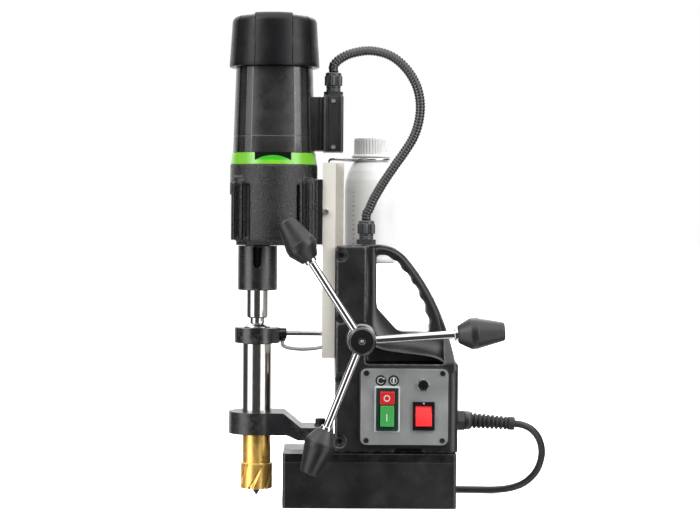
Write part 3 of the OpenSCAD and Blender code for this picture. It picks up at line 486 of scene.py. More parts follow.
def loft(name, rings, material, caps=(True, True), angle=32, closed=True):
    n = len(rings[0])
    verts = [v for ring in rings for v in ring]
    faces = []
    for i in range(len(rings) - 1):
        for k in range(n if closed else n - 1):
            m = (k + 1) % n
            faces.append((i * n + k, i * n + m, (i + 1) * n + m, (i + 1) * n + k))
    if caps[0]:
        faces.append(tuple(range(n - 1, -1, -1)))
    if caps[1]:
        last = (len(rings) - 1) * n
        faces.append(tuple(last + k for k in range(n)))
    return sharpen(mesh_object(name, verts, faces, material), angle)


def frame_of(origin, direction):
    """Places a lathe's own +Z along a direction."""
    turn = Vector(direction).normalized().to_track_quat("Z", "Y").to_matrix().to_4x4()
    return Matrix.Translation(Vector(origin)) @ turn


def lathe(name, profile, material, origin=(0, 0, 0), direction=(0, 0, 1), sides=96, angle=32, wave=None):
    """A turned shape: profile is (radius, height) pairs in mm along its own axis. wave changes a radius by angle."""
    place = frame_of(origin, direction)
    rings = []
    for r, z in profile:
        ring = []
        for a in circle(sides):
            rr = max(r, 0.01) + (wave(r, z, a) if wave else 0)
            ring.append(tuple(place @ Vector((rr * math.cos(a), rr * math.sin(a), z))))
        rings.append(ring)
    return loft(name, rings, material, angle=angle)


def rounded(profile, radius=0.6, steps=3):
    """The same profile with each inner corner rounded."""
    pts = [Vector((r, z, 0)) for r, z in profile]
    out = [profile[0]]
    for a, b, c in zip(pts, pts[1:], pts[2:]):
        u, v = a - b, c - b
        cut = min(radius, u.length * 0.45, v.length * 0.45)
        if cut < 0.02:
            out.append((b.x, b.y))
            continue
        p, q = b + u.normalized() * cut, b + v.normalized() * cut
        for s in range(steps + 1):
            t = s / steps
            m = p * (1 - t) ** 2 + b * 2 * t * (1 - t) + q * t * t
            out.append((m.x, m.y))
    out.append(profile[-1])
    return out


def catmull(points, steps):
    """Points on a smooth line through given ones."""
    out = []
    pts = [Vector(p) for p in points]
    for i in range(len(pts) - 1):
        a, b, c, d = pts[max(i - 1, 0)], pts[i], pts[i + 1], pts[min(i + 2, len(pts) - 1)]
        for s in range(steps):
            t = s / steps
            out.append(
                0.5 * ((2 * b) + (c - a) * t + (2 * a - 5 * b + 4 * c - d) * t * t
                       + (3 * b - a - 3 * c + d) * t * t * t)
            )
    out.append(pts[-1])
    return out


def pipe(name, path, radius, material, sides=16, angle=60):
    """A tube along a path in mm. radius is a number or a function of the distance along it."""
    pts = [Vector(p) for p in path]
    along = [0.0]
    for p, q in zip(pts, pts[1:]):
        along.append(along[-1] + (q - p).length)
    heading = (pts[1] - pts[0]).normalized()
    side = heading.orthogonal().normalized()
    rings = []
    for i, p in enumerate(pts):
        ahead = (pts[min(i + 1, len(pts) - 1)] - pts[max(i - 1, 0)]).normalized()
        side = (side - ahead * side.dot(ahead)).normalized()
        up = ahead.cross(side)
        r = radius(along[i]) if callable(radius) else radius
        rings.append([tuple(p + side * (r * math.cos(a)) + up * (r * math.sin(a))) for a in circle(sides)])
    return loft(name, rings, material, angle=angle)


def even_path(path, step):
    """The same path with points a fixed distance apart."""
    pts = [Vector(p) for p in path]
    out, carried = [pts[0]], 0.0
    for p, q in zip(pts, pts[1:]):
        length = (q - p).length
        while carried + length >= step and length > 1e-9:
            need = step - carried
            p = p + (q - p) * (need / length)
            out.append(p)
            length = (q - p).length
            carried = 0.0
        carried += length
    out.append(pts[-1])
    return out


def prepare(node, material):
    """A CAD node with one material and without its stored normals."""
    piece = nodes[node]
    piece.data.materials.clear()
    piece.data.materials.append(material)
    custom = piece.data.attributes.get("custom_normal")
    if custom:
        piece.data.attributes.remove(custom)
    return piece


def add_weld(piece):
    weld = piece.modifiers.new("weld", "WELD")
    weld.merge_threshold = 0.01 * MM


def dress_all(rows):
    for row in rows:
        dress(*row)


def dress(node, material, bevel=0.5, segments=2, angle=32):
    """A CAD node with its own material and softly rounded edges."""
    piece = prepare(node, material)
    for polygon in piece.data.polygons:
        polygon.use_smooth = True
    add_weld(piece)
    flat = piece.modifiers.new("flat", "DECIMATE")
    flat.decimate_type = "DISSOLVE"
    flat.angle_limit = math.radians(0.6)
    if bevel:
        edge = piece.modifiers.new("edge", "BEVEL")
        edge.width = bevel * MM
        edge.segments = segments
        edge.limit_method = "ANGLE"
        edge.angle_limit = math.radians(angle)
        edge.harden_normals = True
        edge.use_clamp_overlap = True
    return piece


def cast(node, material, voxel=1.0, passes=5):
    """A CAD node as a casting: every edge and inner corner rounded a little."""
    piece = prepare(node, material)
    add_weld(piece)
    skin = piece.modifiers.new("skin", "REMESH")
    skin.mode = "VOXEL"
    skin.voxel_size = voxel * MM
    skin.use_smooth_shade = True
    smooth = piece.modifiers.new("round", "SMOOTH")
    smooth.factor = 0.5
    smooth.iterations = passes
    return piece


# ---- the mains cord, coiled behind the magnet

CORD_R = 3.5
CORD_EXIT = (141, 0, 77.6)
COIL_AT = (12, 120)
LANES = (50.4, 36.3)
LAYERS = 4
TURNS_A_LAYER = 2
RISE_TURN = 1 / 3
PITCH = 7.05
PLUG_TIP = Vector((0, 67, 23.5))
PLUG_TURN = Matrix.Rotation(math.radians(7), 3, "Z")
PLUG_TILT = math.radians(98)
PLUG_AXIS = PLUG_TURN @ Vector((-math.sin(PLUG_TILT), 0, math.cos(PLUG_TILT)))
PLUG_SIDE = PLUG_TURN @ Vector((0, 1, 0))

CORD_LEAD = [
    CORD_EXIT, (150, 1, 76), (159, 4, 71), (166, 10, 62), (170, 19, 50), (170, 30, 37), (166, 42, 24),
    (157, 53, 13), (144, 61, 6.5), (128, 66, 3.9), (110, 68.5, 3.6), (90, 69.4, 3.6), (60, 69.6, 3.6),
    (36, 69.6, 3.6),
]


def coil_point(turn):
    """Where the cord is after so many clockwise turns from the coil's near side."""
    whole = TURNS_A_LAYER + RISE_TURN
    layer = min(int(turn / whole + 1e-9), LAYERS - 1)
    inside = turn - layer * whole
    across = min(inside / TURNS_A_LAYER, 1)
    if layer % 2:
        across = 1 - across
    climb = max(inside - TURNS_A_LAYER, 0) / RISE_TURN
    climb = climb * climb * (3 - 2 * climb)
    r = LANES[0] + (LANES[1] - LANES[0]) * across
    a = math.radians(-90) - 2 * math.pi * turn
    return (
        COIL_AT[0] + r * math.cos(a), COIL_AT[1] + r * math.sin(a), CORD_R + 0.1 + PITCH * (layer + climb),
    )


def make_cord():
    turns = LAYERS * TURNS_A_LAYER + (LAYERS - 1) * RISE_TURN
    steps = int(turns * 24)
    coil = [coil_point(turns * i / steps) for i in range(steps + 1)]
    tail = [tuple(PLUG_TIP - PLUG_AXIS * 3), tuple(PLUG_TIP + PLUG_AXIS * 12)]
    route = [tuple(p) for p in catmull(CORD_LEAD + coil[:1], 3)][:-1] + coil + tail
    data = bpy.data.curves.new("mains_cord", "CURVE")
    data.dimensions = "3D"
    data.bevel_depth = CORD_R * MM
    data.bevel_resolution = 5
    data.use_fill_caps = True
    spline = data.splines.new("POLY")
    spline.points.add(len(route) - 1)
    for point, place in zip(spline.points, route):
        point.co = (*[c * MM for c in place], 1)
    spline.use_smooth = True
    data.materials.append(cord_rubber)
    piece = bpy.data.objects.new("mains_cord", data)
    show(piece)
    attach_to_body(piece, "stand")
    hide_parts("power_cord", "cord_coil")
    return piece


def make_plug():
    ribs = [(4.4 + 0.085 * z + (0.7 if int(z / 2.4) % 2 else 0), z) for z in [0.6 * k for k in range(40)]]
    body = lathe(
        "plug_body",
        rounded([(0, -3), (4.2, -3), (4.6, 0)] + ribs + [
            (8.5, 24.5), (10.4, 25), (14.2, 30), (15, 34), (15, 50), (14.5, 52), (15, 54), (15, 60.2), (13.6, 61.2),
            (0, 61.2)], 0.5, 2),
        rubber, PLUG_TIP, PLUG_AXIS, 72,
    )
    attach(body, "plug")
    pieces = [body]
    pin_profile = rounded([(0, 60.5), (2.4, 60.5), (2.4, 78), (1.5, 79.4), (0, 79.6)], 0.4)
    for name, side in (("plug_pin_1", -9.5), ("plug_pin_2", 9.5)):
        pin = lathe(name, pin_profile, satin_chrome, PLUG_TIP + PLUG_SIDE * side, PLUG_AXIS, 32)
        pieces.append(extra(pin, "plug"))
    return pieces


cord = make_cord()
plug_pieces = make_plug()


def make_cord_relief():
    """The hexagon gland and the ribbed sleeve that the cord leaves through."""
    def hexagon(r, z, a):
        if z < 7.6 and r > 9:
            return 9.1 / math.cos((a % (math.pi / 3)) - math.pi / 6) - r
        return 0

    nut = lathe(
        "cord_nut",
        rounded([(5, 0), (9.8, 0), (9.8, 7.5), (8.6, 7.7), (9.2, 8.4), (9.2, 12.6), (8, 13.8), (5, 13.8)], 0.4, 2),
        gland_grey, (84.5, 0, 80.6), (1, 0, 0), 96, wave=hexagon,
    )
    attach(nut, "cord_gland")
    droop = math.radians(3.9)
    profile = [(4.2, -0.5), (8.1, -0.5), (8.2, 1.6), (7.4, 2.2)]
    for k in range(8):
        z = 2.6 + 4.25 * k
        r = 7.5 - 0.16 * k
        profile += [(r - 1.5, z), (r - 1.5, z + 0.9), (r, z + 1.4), (r, z + 3.6), (r - 1.5, z + 4.1)]
    profile += [(6.0, 37), (6.5, 37.4), (6.5, 42.6), (5.9, 43.6), (3.7, 43.6), (3.7, 30)]
    sleeve = lathe(
        "cord_sleeve", rounded(profile, 0.35, 2), rubber, (97.5, 0, 80.6), (math.cos(droop), 0, -math.sin(droop)), 64,
    )
    extra(sleeve, "cord_gland")


make_cord_relief()


# ---- glands and the corrugated conduit

def make_gland(name, node, place):
    def grips(r, z, a):
        if z < 4.8 and r > 8:
            return 8.0 / math.cos((a % (math.pi / 3)) - math.pi / 6) - r
        if 10.5 < z < 19.6 and r > 7.6:
            return 0.32 * math.cos(20 * a)
        return 0

    profile = rounded([
        (4.4, 0), (8.5, 0), (8.5, 4.7), (6.9, 5.1), (7.2, 6), (6.6, 6.7), (7.2, 7.4), (6.6, 8.1), (7.2, 8.8),
        (6.8, 10), (8.2, 10.6), (8.2, 19.5), (7.6, 20.6), (7.9, 21.4), (7.2, 22.8), (5.9, 23.4),
        (4.9, 23.4), (4.9, 18),
    ], 0.35, 2)
    attach(lathe(name, profile, gland_grey, place, sides=120, wave=grips), node)


make_gland("column_gland_body", "column_gland", (-4, 0, 250))
make_gland("motor_gland_body", "motor_gland", (-36.7, 0, 392))

CONDUIT_LINE = [
    (-4, 0, 272), (-4, 0, 279), (-1, 0, 285), (3, 0, 294), (11, 0, 308), (21.5, 0, 324), (32, 0, 339), (41, 0, 354),
    (46, 0, 370), (47, 0, 387), (43, 0, 404), (33, 0, 420), (18, 0, 432), (-1, 0, 436.6), (-19, 0, 434),
    (-30.8, 0, 428.2), (-36.7, 0, 421.9), (-36.7, 0, 418.4), (-36.7, 0, 413),
]
RIB_PITCH = 2.9


def make_conduit():
    def rib(s):
        swell = 0.5 + 0.5 * math.cos(2 * math.pi * s / RIB_PITCH)
        return 4.15 + 0.62 * swell ** 0.7

    line = even_path(catmull(CONDUIT_LINE, 24), RIB_PITCH / 6)
    piece = pipe("conduit", line, rib, conduit_black, 20, 60)
    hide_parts("cable_conduit")
    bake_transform(piece)


make_conduit()


# ---- motor

MOTOR_X = -93.5


def step(x, a, b):
    """0 below a, 1 above b and smooth between."""
    t = min(max((x - a) / (b - a), 0), 1)
    return t * t * (3 - 2 * t)


def face_angle(a):
    """The angle in degrees from the nearer of the motor's front and back."""
    from_front = abs((math.degrees(a) + 90 + 180) % 360 - 180)
    return min(from_front, 180 - from_front)


def flat(d, middle, half, share):
    """A circle's radius scale when part of it is flattened."""
    if abs(d - middle) > half:
        return 1
    return 1 - share * (1 - math.cos(math.radians(half)) / math.cos(math.radians(d - middle)))


def housing_scale(a):
    """The motor casing's radius scale by angle: flats, a groove and a seam."""
    d = face_angle(a)
    k = 1.0
    if d < 32:
        k = flat(d, 0, 32, 0.5)
    elif d < 42:
        k = flat(d, 37, 5, 0.9)
    elif d < 57:
        k = flat(d, 49.5, 7.5, 0.9)
    groove = step(d, 56, 57) * (1 - step(d, 60, 61))
    seam = step(d, 41.2, 42) * (1 - step(d, 42, 42.8))
    return k - 0.05 * groove - 0.01 * seam


def make_motor_housing():
    rings = []
    sides, foot_r, top_r, foot_z, height = 360, 39.4, 36.8, 337, 82
    heights = [
        (337, 0.985), (337.4, 0.996), (338.2, 1), (352.6, 1), (353, 0.993), (353.4, 0.993), (353.8, 1), (365, 1),
        (380, 1), (395, 1), (410, 1), (418.5, 1), (419, 0.99),
    ]
    for z, k in heights:
        r = foot_r + (top_r - foot_r) * (z - foot_z) / height
        ring = []
        for a in circle(sides):
            rr = r * k * housing_scale(a)
            ring.append((MOTOR_X + rr * math.cos(a), rr * math.sin(a), z))
        rings.append(ring)
    attach(loft("motor_shell", rings, motor_black, angle=30), "motor_housing")


def make_motor_cap():
    sides, foot_r, top_r = 360, 43.3, 40.2
    low, high, round_r = 419, 467.8, 6
    rings = []
    levels = [(low, 0.0, 0.9), (low, 0.0, 0.965), (low + 0.5, 0.0, 0.99), (low + 1.4, 0.0, 1)]
    levels += [(low + 1.4 + (high - round_r - low - 1.4) * i / 14, 0.0, 1) for i in range(1, 15)]
    levels += [
        (high - round_r + round_r * math.sin(math.radians(90 * i / 8)),
         round_r * (1 - math.cos(math.radians(90 * i / 8))), 1) for i in range(1, 9)
    ]
    levels += [(high + 0.25, 14, 1), (high + 0.4, 24, 1), (high + 0.45, 34, 1)]
    for z, inset, k in levels:
        r = foot_r + (top_r - foot_r) * (z - low) / (high - low)
        ring = []
        for a in circle(sides):
            d = face_angle(a)
            x_from = abs(math.cos(a)) * (r - inset)
            inside = 1 - step(x_from, 16.8, 17.8)
            scale = k - 0.022 * step(d, 53.6, 54.4) * (1 - step(d, 56, 57))
            vent = 0
            if abs((math.degrees(a) - 90 + 180) % 360 - 180) < 19 and low + 9 < z < high - 12:
                vent = 1.8 * step(math.sin((z - low) * 2 * math.pi / 6.8), 0.0, 0.35)
            rr = (r - inset) * scale + inside * (1.6 if inset < 6 else 0) - vent
            lift = inside * 1.9 * step(inset, 0.5, 6)
            ring.append((MOTOR_X + rr * math.cos(a), rr * math.sin(a), z + lift))
        rings.append(ring)
    attach(loft("motor_cap_shell", rings, cap_black, angle=30), "motor_cap")


def rectangle(x0, x1, y0, y1, r, grooves=(), per=6):
    """A rounded rectangle's outline, with small V grooves in both Y faces at the given X places."""
    pts = []
    for cx, cy, start in ((x1 - r, y0 + r, -90), (x1 - r, y1 - r, 0), (x0 + r, y1 - r, 90), (x0 + r, y0 + r, 180)):
        for i in range(per + 1):
            a = math.radians(start + 90 * i / per)
            pts.append((cx + r * math.cos(a), cy + r * math.sin(a)))
        if start == 0:
            for g in sorted(grooves, reverse=True):
                pts += [(g + 0.9, y1), (g, y1 - 0.9), (g - 0.9, y1)]
        if start == 180:
            for g in sorted(grooves):
                pts += [(g - 0.9, y0), (g, y0 + 0.9), (g + 0.9, y0)]
    return pts


def prism(name, outline, low, high, material, edge=0.8, centre=None):
    """An upright block with its outline in X and Y and rounded upper and lower edges."""
    cx = centre[0] if centre else sum(p[0] for p in outline) / len(outline)
    cy = centre[1] if centre else sum(p[1] for p in outline) / len(outline)
    size = max(max(abs(p[0] - cx), abs(p[1] - cy)) for p in outline)
    rings = []
    for z, inset in (
        (low, edge), (low + edge * 0.3, edge * 0.3), (low + edge, 0), (high - edge, 0),
        (high - edge * 0.3, edge * 0.3), (high, edge),
    ):
        k = 1 - inset / size
        rings.append([(cx + (x - cx) * k, cy + (y - cy) * k, z) for x, y in outline])
    return loft(name, rings, material, angle=28)


def make_terminal_box():
    neck = prism("box_neck", rectangle(-64, -45, -16, 16, 3, (-50.5,)), 339.5, 391, box_black, 0.8)
    attach(neck, "terminal_box")
    body = prism("box_body", rectangle(-46.4, -27, -20, 20, 2.6, (-41.6, -31.4)), 338.5, 392, box_black, 1.1)
    extra(body, "terminal_box")
    lid = prism("box_lid_line", rectangle(-45.4, -28, -18.6, 18.6, 2), 391.4, 392.9, box_black, 0.5)
    extra(lid, "terminal_box")


make_motor_housing()
make_motor_cap()
make_terminal_box()
dress("motor_ring", lime, 0.45)


def make_ring_scoops():
    """The inner wall behind the ring's air slots, near-black as painted shade, with the low scoop in front of it in a
    darker green, also painted shade.
    """
    for name, radius, sweep, material, low, crown in (
        ("ring_scoop", 40.6, 24.5, lime_shaded, 329.4, 4.6), ("ring_inner", 40.2, 27, shadow_black, 329.4, 7.4),
    ):
        for face, turn in (("near", -90), ("far", 90)):
            lower, upper = [], []
            for i in range(49):
                t = -1 + i / 24
                a = math.radians(turn + sweep * t)
                x, y = MOTOR_X + radius * math.cos(a), radius * math.sin(a)
                lower.append((x, y, low))
                upper.append((x, y, low + 0.3 + (crown * (1 - t * t) if crown < 6 else crown)))
            wall = loft(name + "_" + face, [lower, upper], material, (False, False), 40, False)
            extra(wall, "motor_ring")


make_ring_scoops()
dress_all((
    ("stator", steel_plain, 0.3), ("armature", copper, 0.2), ("cooling_fan", box_black, 0.2),
    ("motor_brushes", box_black, 0.3), ("bearing_plate", steel_plain, 0.5), ("bearings", steel_plain, 0.3),
    ("idler_gear", steel_plain, 0.15), ("output_gear", steel_plain, 0.15),
))


# ---- castings, slide and base

cast("gearbox_housing", cast_black, 1.0, 6)
cast("column_casting", column_black, 1.15, 6)
dress("support_bracket", bracket_black, 1.3, 4)


def make_column_cove():
    """The rounded hollow between the front leg and the handle, and on along the top of the control housing."""
    near, deep, steps = -31.2, -12.8, 10
    high_edge = [
        (-4.2, 247), (-4.2, 215), (-4.2, 185), (-4, 168), (-2, 158), (5, 152), (18, 149), (36, 147), (54, 145),
        (66, 142), (72, 137),
    ]
    low_edge = [
        (5.2, 247), (5.6, 215), (5.8, 189.5), (9, 186), (17, 177.6), (26.6, 167.3), (33, 166), (42, 165.7),
        (52, 165.4), (62, 165), (76, 160),
    ]
    rings = []
    for high, low in zip(high_edge, low_edge):
        across, up = low[0] - high[0], low[1] - high[1]
        ring = [(high[0], deep, high[1] - 1), (high[0], near + 1, high[1] - 0.6)]
        for i in range(steps + 1):
            a = math.radians(90 * i / steps)
            along = 0.1 + 0.9 * (1 - math.cos(a)) if i else 0.0
            ring.append((high[0] + across * along, near + (deep - near) * math.sin(a), high[1] + up * along))
        rings.append(ring)
    piece = loft("column_cove", rings, column_black, (False, False), 50, False)
    smooth = piece.modifiers.new("even", "SUBSURF")
    smooth.levels = smooth.render_levels = 2
    extra(piece, "column_casting")


def make_handle_round():
    """The handle's rounded outer strip, which follows the handle's outline."""
    first, first_r, second, second_r = (8, 214), 36, (-124.6, 102.7), 209.1
    path = [(first, first_r, 96, 5.4), (first, first_r, 90, 4.4)]
    path += [(first, first_r, 90 - 5 * i, 4.4) for i in range(1, 11)]
    path += [(second, second_r, 39 - 2 * i, 4.4) for i in range(9)] + [(second, second_r, 18, 6.5)]
    rings = []
    for centre, r, turn, inset in path:
        a = math.radians(turn)
        ring = []
        for u in circle(32):
            reach = r - inset + 4.5 * math.cos(u)
            ring.append((centre[0] + reach * math.cos(a), 14.4 * math.sin(u), centre[1] + reach * math.sin(a)))
        rings.append(ring)
    extra(loft("handle_round", rings, column_black, (True, True), 50), "column_casting")


make_column_cove()
make_handle_round()
dress_all((
    ("magnet_body", magnet_black, 0.8, 3), ("base_plate", plate_black, 0.9, 3), ("magnet_coils", copper, 0.3),
    ("coil_potting", resin, 0.2), ("side_cover", brushed, 0.4), ("gib_strip", bronze, 0.2),
    ("shaft_bushes", bronze, 0.3), ("cap_screws", oxide_black, 0.3), ("back_plate", box_black, 0.7),
    ("head_screws", zinc, 0.25), ("slide_bar", ivory, 0.7, 3), ("feed_rack", steel_plain, 0.1),
))


# ---- control panel

dress_all((
    ("panel_gasket", rubber, 0.4), ("panel_plate", brushed, 0.35), ("panel_screws", oxide_black, 0.25),
    ("motor_switch", frame_green, 0.5), ("stop_button", red_plastic, 0.6, 3),
    ("start_button", green_plastic, 0.6, 3), ("magnet_switch", gloss_black, 0.5),
    ("magnet_rocker", lamp_red, 0.5, 3), ("fuse_holder", satin_chrome, 0.3), ("fuse_cap", gloss_black, 0.3),
    ("control_board", board_green, 0.2),
))


def flat_ring(name, centre, outer, inner, y, thick, material, arc=(0, 360), sides=48):
    """A flat ring, or part of one, facing the operator."""
    verts, faces = [], []
    whole = arc[1] - arc[0] >= 360
    n = sides if whole else sides + 1
    for i in range(n):
        a = math.radians(arc[0] + (arc[1] - arc[0]) * i / sides)
        for r in (outer, inner):
            for d in (0, thick):
                verts.append((centre[0] + r * math.cos(a), y - d, centre[1] + r * math.sin(a)))
    for i in range(n if whole else n - 1):
        a, b = 4 * i, 4 * ((i + 1) % n)
        faces += [
            (a + 1, a + 3, b + 3, b + 1), (a, b, b + 2, a + 2), (a, a + 1, b + 1, b), (a + 2, b + 2, b + 3, a + 3),
        ]
    if not whole:
        e = 4 * (n - 1)
        faces += [(0, 2, 3, 1), (e, e + 1, e + 3, e + 2)]
    return mesh_object(name, verts, faces, material, flat=True)


def flat_shape(name, outline, y, thick, material):
    """A flat shape given in X and Z, facing the operator."""
    n = len(outline)
    verts = [(x, y - d, z) for d in (0, thick) for x, z in outline]
    faces = [tuple(range(n)), tuple(range(2 * n - 1, n - 1, -1))]
    faces += [(k, n + k, n + (k + 1) % n, (k + 1) % n) for k in range(n)]
    return mesh_object(name, verts, faces, material, flat=True)


def disc(centre, r, sides=48):
    return [(centre[0] + r * math.cos(a), centre[1] + r * math.sin(a)) for a in circle(sides)]


def bar(x0, x1, z0, z1):
    return [(x0, z0), (x1, z0), (x1, z1), (x0, z1)]


def make_panel_marks():
    """Plain round symbols above the motor switch, the marks on the buttons and the rocker's dot."""
    symbol_z, face, print_face = 121.6, -36, -36.12
    turn_x, drill_x = 10.1, 22.3
    marks = [
        flat_shape("mark_disc_%d" % x, disc((x, symbol_z), 5.2), face, 0.12, dark_print) for x in (turn_x, drill_x)
    ]
    marks += [
        flat_ring("mark_turn", (turn_x, symbol_z), 3.3, 2.7, print_face, 0.08, white_print, (35, 325), 30),
        flat_shape("mark_arrow", [(12.0, 122.9), (14.0, 122.7), (13.1, 124.6)], print_face, 0.08, white_print),
        flat_ring("mark_drill", (drill_x, symbol_z), 3.3, 2.7, print_face, 0.08, white_print),
        flat_shape("mark_point", [(21.5, 124.2), (23.1, 124.2), (23.1, 120.4), (22.3, 118.8), (21.5, 120.4)],
                   print_face, 0.08, white_print),
    ]
    for mark in marks:
        extra(mark, "panel_plate")
    for mark, node in (
        (flat_ring("stop_mark", (15.9, 105.1), 3.1, 2.2, -40.6, 0.14, white_print), "stop_button"),
        (flat_shape("start_mark", bar(15.45, 16.35, 83.4, 90.2), -41.2, 0.14, white_print), "start_button"),
        (flat_shape("rocker_dot", disc((51, 100.3), 0.75, 20), -38.4, 0.15, white_print), "magnet_switch"),
    ):
        extra(mark, node)


def make_switch_surround():
    outer = rectangle(4.2, 28.4, 72.4, 116.4, 1.6)
    inner = rectangle(5.7, 26.9, 74.1, 114.7, 1.0)
    rings = []
    for outline, y in ((inner, -36.0), (outer, -36.0), (outer, -37.1), (inner, -37.5)):
        rings.append([(x, y, z) for x, z in outline])
    piece = loft("switch_surround", rings, clear_frame, (False, False), 25)
    extra(piece, "motor_switch")


make_panel_marks()
make_switch_surround()


# ---- spindle, cutter and coolant

SPINDLE_X = -108.5


def make_spindle_nose():
    """The spindle with its socket and the rounded ejector slots at front and back."""
    nose, slot_r, slot_foot, slot_top = 19.1, 4.1, 231, 246.4

    def slot(r, z, a):
        if r < nose - 0.9 or not slot_foot - 6 < z < slot_top:
            return 0
        x = nose * math.cos(a)
        away = math.hypot(x, min(z - slot_foot, 0))
        return -8.5 * (1 - step(away, slot_r - 0.35, slot_r))

    upright = [(nose, 206.2)] + [(nose, 208 + 3 * i) for i in range(6)] + [(nose, 226 + 0.45 * i) for i in range(48)]
    profile = rounded([(0, 214), (10.6, 214), (10.6, 206), (11.2, 205.4), (18.4, 205.4)], 0.4, 2)
    profile += upright + [(nose, 247.9), (12, 248.2), (12, 267), (5, 268), (5, 305), (4, 305), (4, 313), (0, 313)]
    attach(lathe("spindle_nose", profile, nose_black, (SPINDLE_X, 0, 0), sides=480, wave=slot), "spindle")


def make_arbor():
    """The arbor: taper and neck in the socket, a narrow groove, the shoulder and the long ground barrel."""
    profile = rounded([
        (0, 232), (8.9, 232), (10.3, 206), (10.3, 180.2), (9.7, 178.6), (7, 178.4), (7, 173.6), (9, 173.6),
        (12.7, 170), (12.7, 169.6), (12, 169.4), (12, 168.8), (12, 155.4), (12, 154.8), (13.4, 154.4),
        (14.1, 153.8), (14.1, 153.2), (14.1, 71.2), (14.1, 70.6), (13.6, 70), (9.6, 70), (9.6, 96), (7, 97),
        (7, 145.8), (0, 146.2),
    ], 0.35, 2)
    attach(lathe("arbor_body", profile, ground, (SPINDLE_X, 0, 0), sides=144, angle=30), "arbor")


make_spindle_nose()
make_arbor()
dress("pilot_pin", carbide_dark, 0.15)


def make_ejector_spring():
    """A coil spring between the pilot pin's head and the end of its bore."""
    low, high, turns, steps = 106.8, 145.2, 9, 24
    path = []
    for i in range(turns * steps + 1):
        a = 2 * math.pi * i / steps
        path.append((SPINDLE_X + 5 * math.cos(a), 5 * math.sin(a), low + (high - low) * i / (turns * steps)))
    spring = attach(pipe("ejector_coil", path, 0.7, steel_plain, 10), "ejector_spring")
    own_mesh(spring)


make_ejector_spring()
dress("coolant_ring", ring_black, 0.8, 3)
dress("torque_rod", satin_chrome, 0.2)


def make_cutter():
    """The annular cutter: six helical flutes that run out below the shank, and stepped teeth."""
    flutes, sides, twist = 6, 360, 1.9
    top_of_flute, low = 38.5, 13.3
    bore, outer, body = 10.7, 15.25, 13.6

    def tooth(a, z):
        """0 to 1 from one cutting edge to the next, along the twist."""
        return ((math.degrees(a) - twist * (z - low)) % (360 / flutes)) / (360 / flutes)

    def flute_depth(a, z):
        t = tooth(a, z)
        cut = step(t, 0.0, 0.03) * (1 - step(t, 0.1, 0.3))
        return cut * (1 - step(z, top_of_flute - 4, top_of_flute + 1.5))

    def ring(radius, z, cut=0.0, gullet=0.0):
        out = []
        for a in circle(sides):
            r = radius - cut * flute_depth(a, z)
            t = tooth(a, low)
            rise = gullet * (0.3 + 2.0 * step(t, 0.0, 0.06) * (1 - step(t, 0.1, 0.3)) + 0.8 * t)
            out.append((SPINDLE_X + r * math.cos(a), r * math.sin(a), z + rise))
        return out

    rings = [
        ring(3.4, 45), ring(bore, 45), ring(bore, 24), ring(bore, low + 0.2, 0, 1), ring(bore + 1.2, low - 0.3, 0, 1),
        ring(13.2, low, 0.6, 1), ring(outer - 0.25, low + 0.3, 1.5, 1), ring(outer, low + 0.8, 1.5, 0.9),
    ]
    for i in range(1, 26):
        z = low + 1.2 + (top_of_flute - 0.7 - low - 1.2) * i / 25
        rings.append(ring(outer, z, 1.5, max(0.9 - 0.14 * i, 0)))
    rings += [
        ring(outer - 0.15, top_of_flute - 0.2, 2), ring(body + 0.5, top_of_flute, 1.2),
        ring(body, top_of_flute + 0.6, 0.8),
    ]
    rings += [ring(body, z) for z in (41, 50, 60, 69.3)] + [ring(body - 0.5, 70), ring(9.6, 70), ring(9.55, 72)]
    attach(loft("cutter_body", rings, gold, (False, True), 30), "cutter")


make_cutter()

HOSE_LINE = [
    (-84, 0, 158), (-84, 0.4, 153.6), (-82.6, 4, 151), (-78, 10, 149), (-70, 17, 147.5), (-61, 24, 147),
    (-51, 31, 147.5), (-40, 37, 150), (-28, 41, 156), (-17, 46, 167), (-8, 52, 182), (-2, 57, 200), (1, 60, 214),
    (1.7, 60.5, 226),
]
attach(pipe("coolant_tube", catmull(HOSE_LINE, 8), 2.1, hose_clear, 16), "coolant_hose")

BOTTLE_AT = (1.7, 60.5, 0)


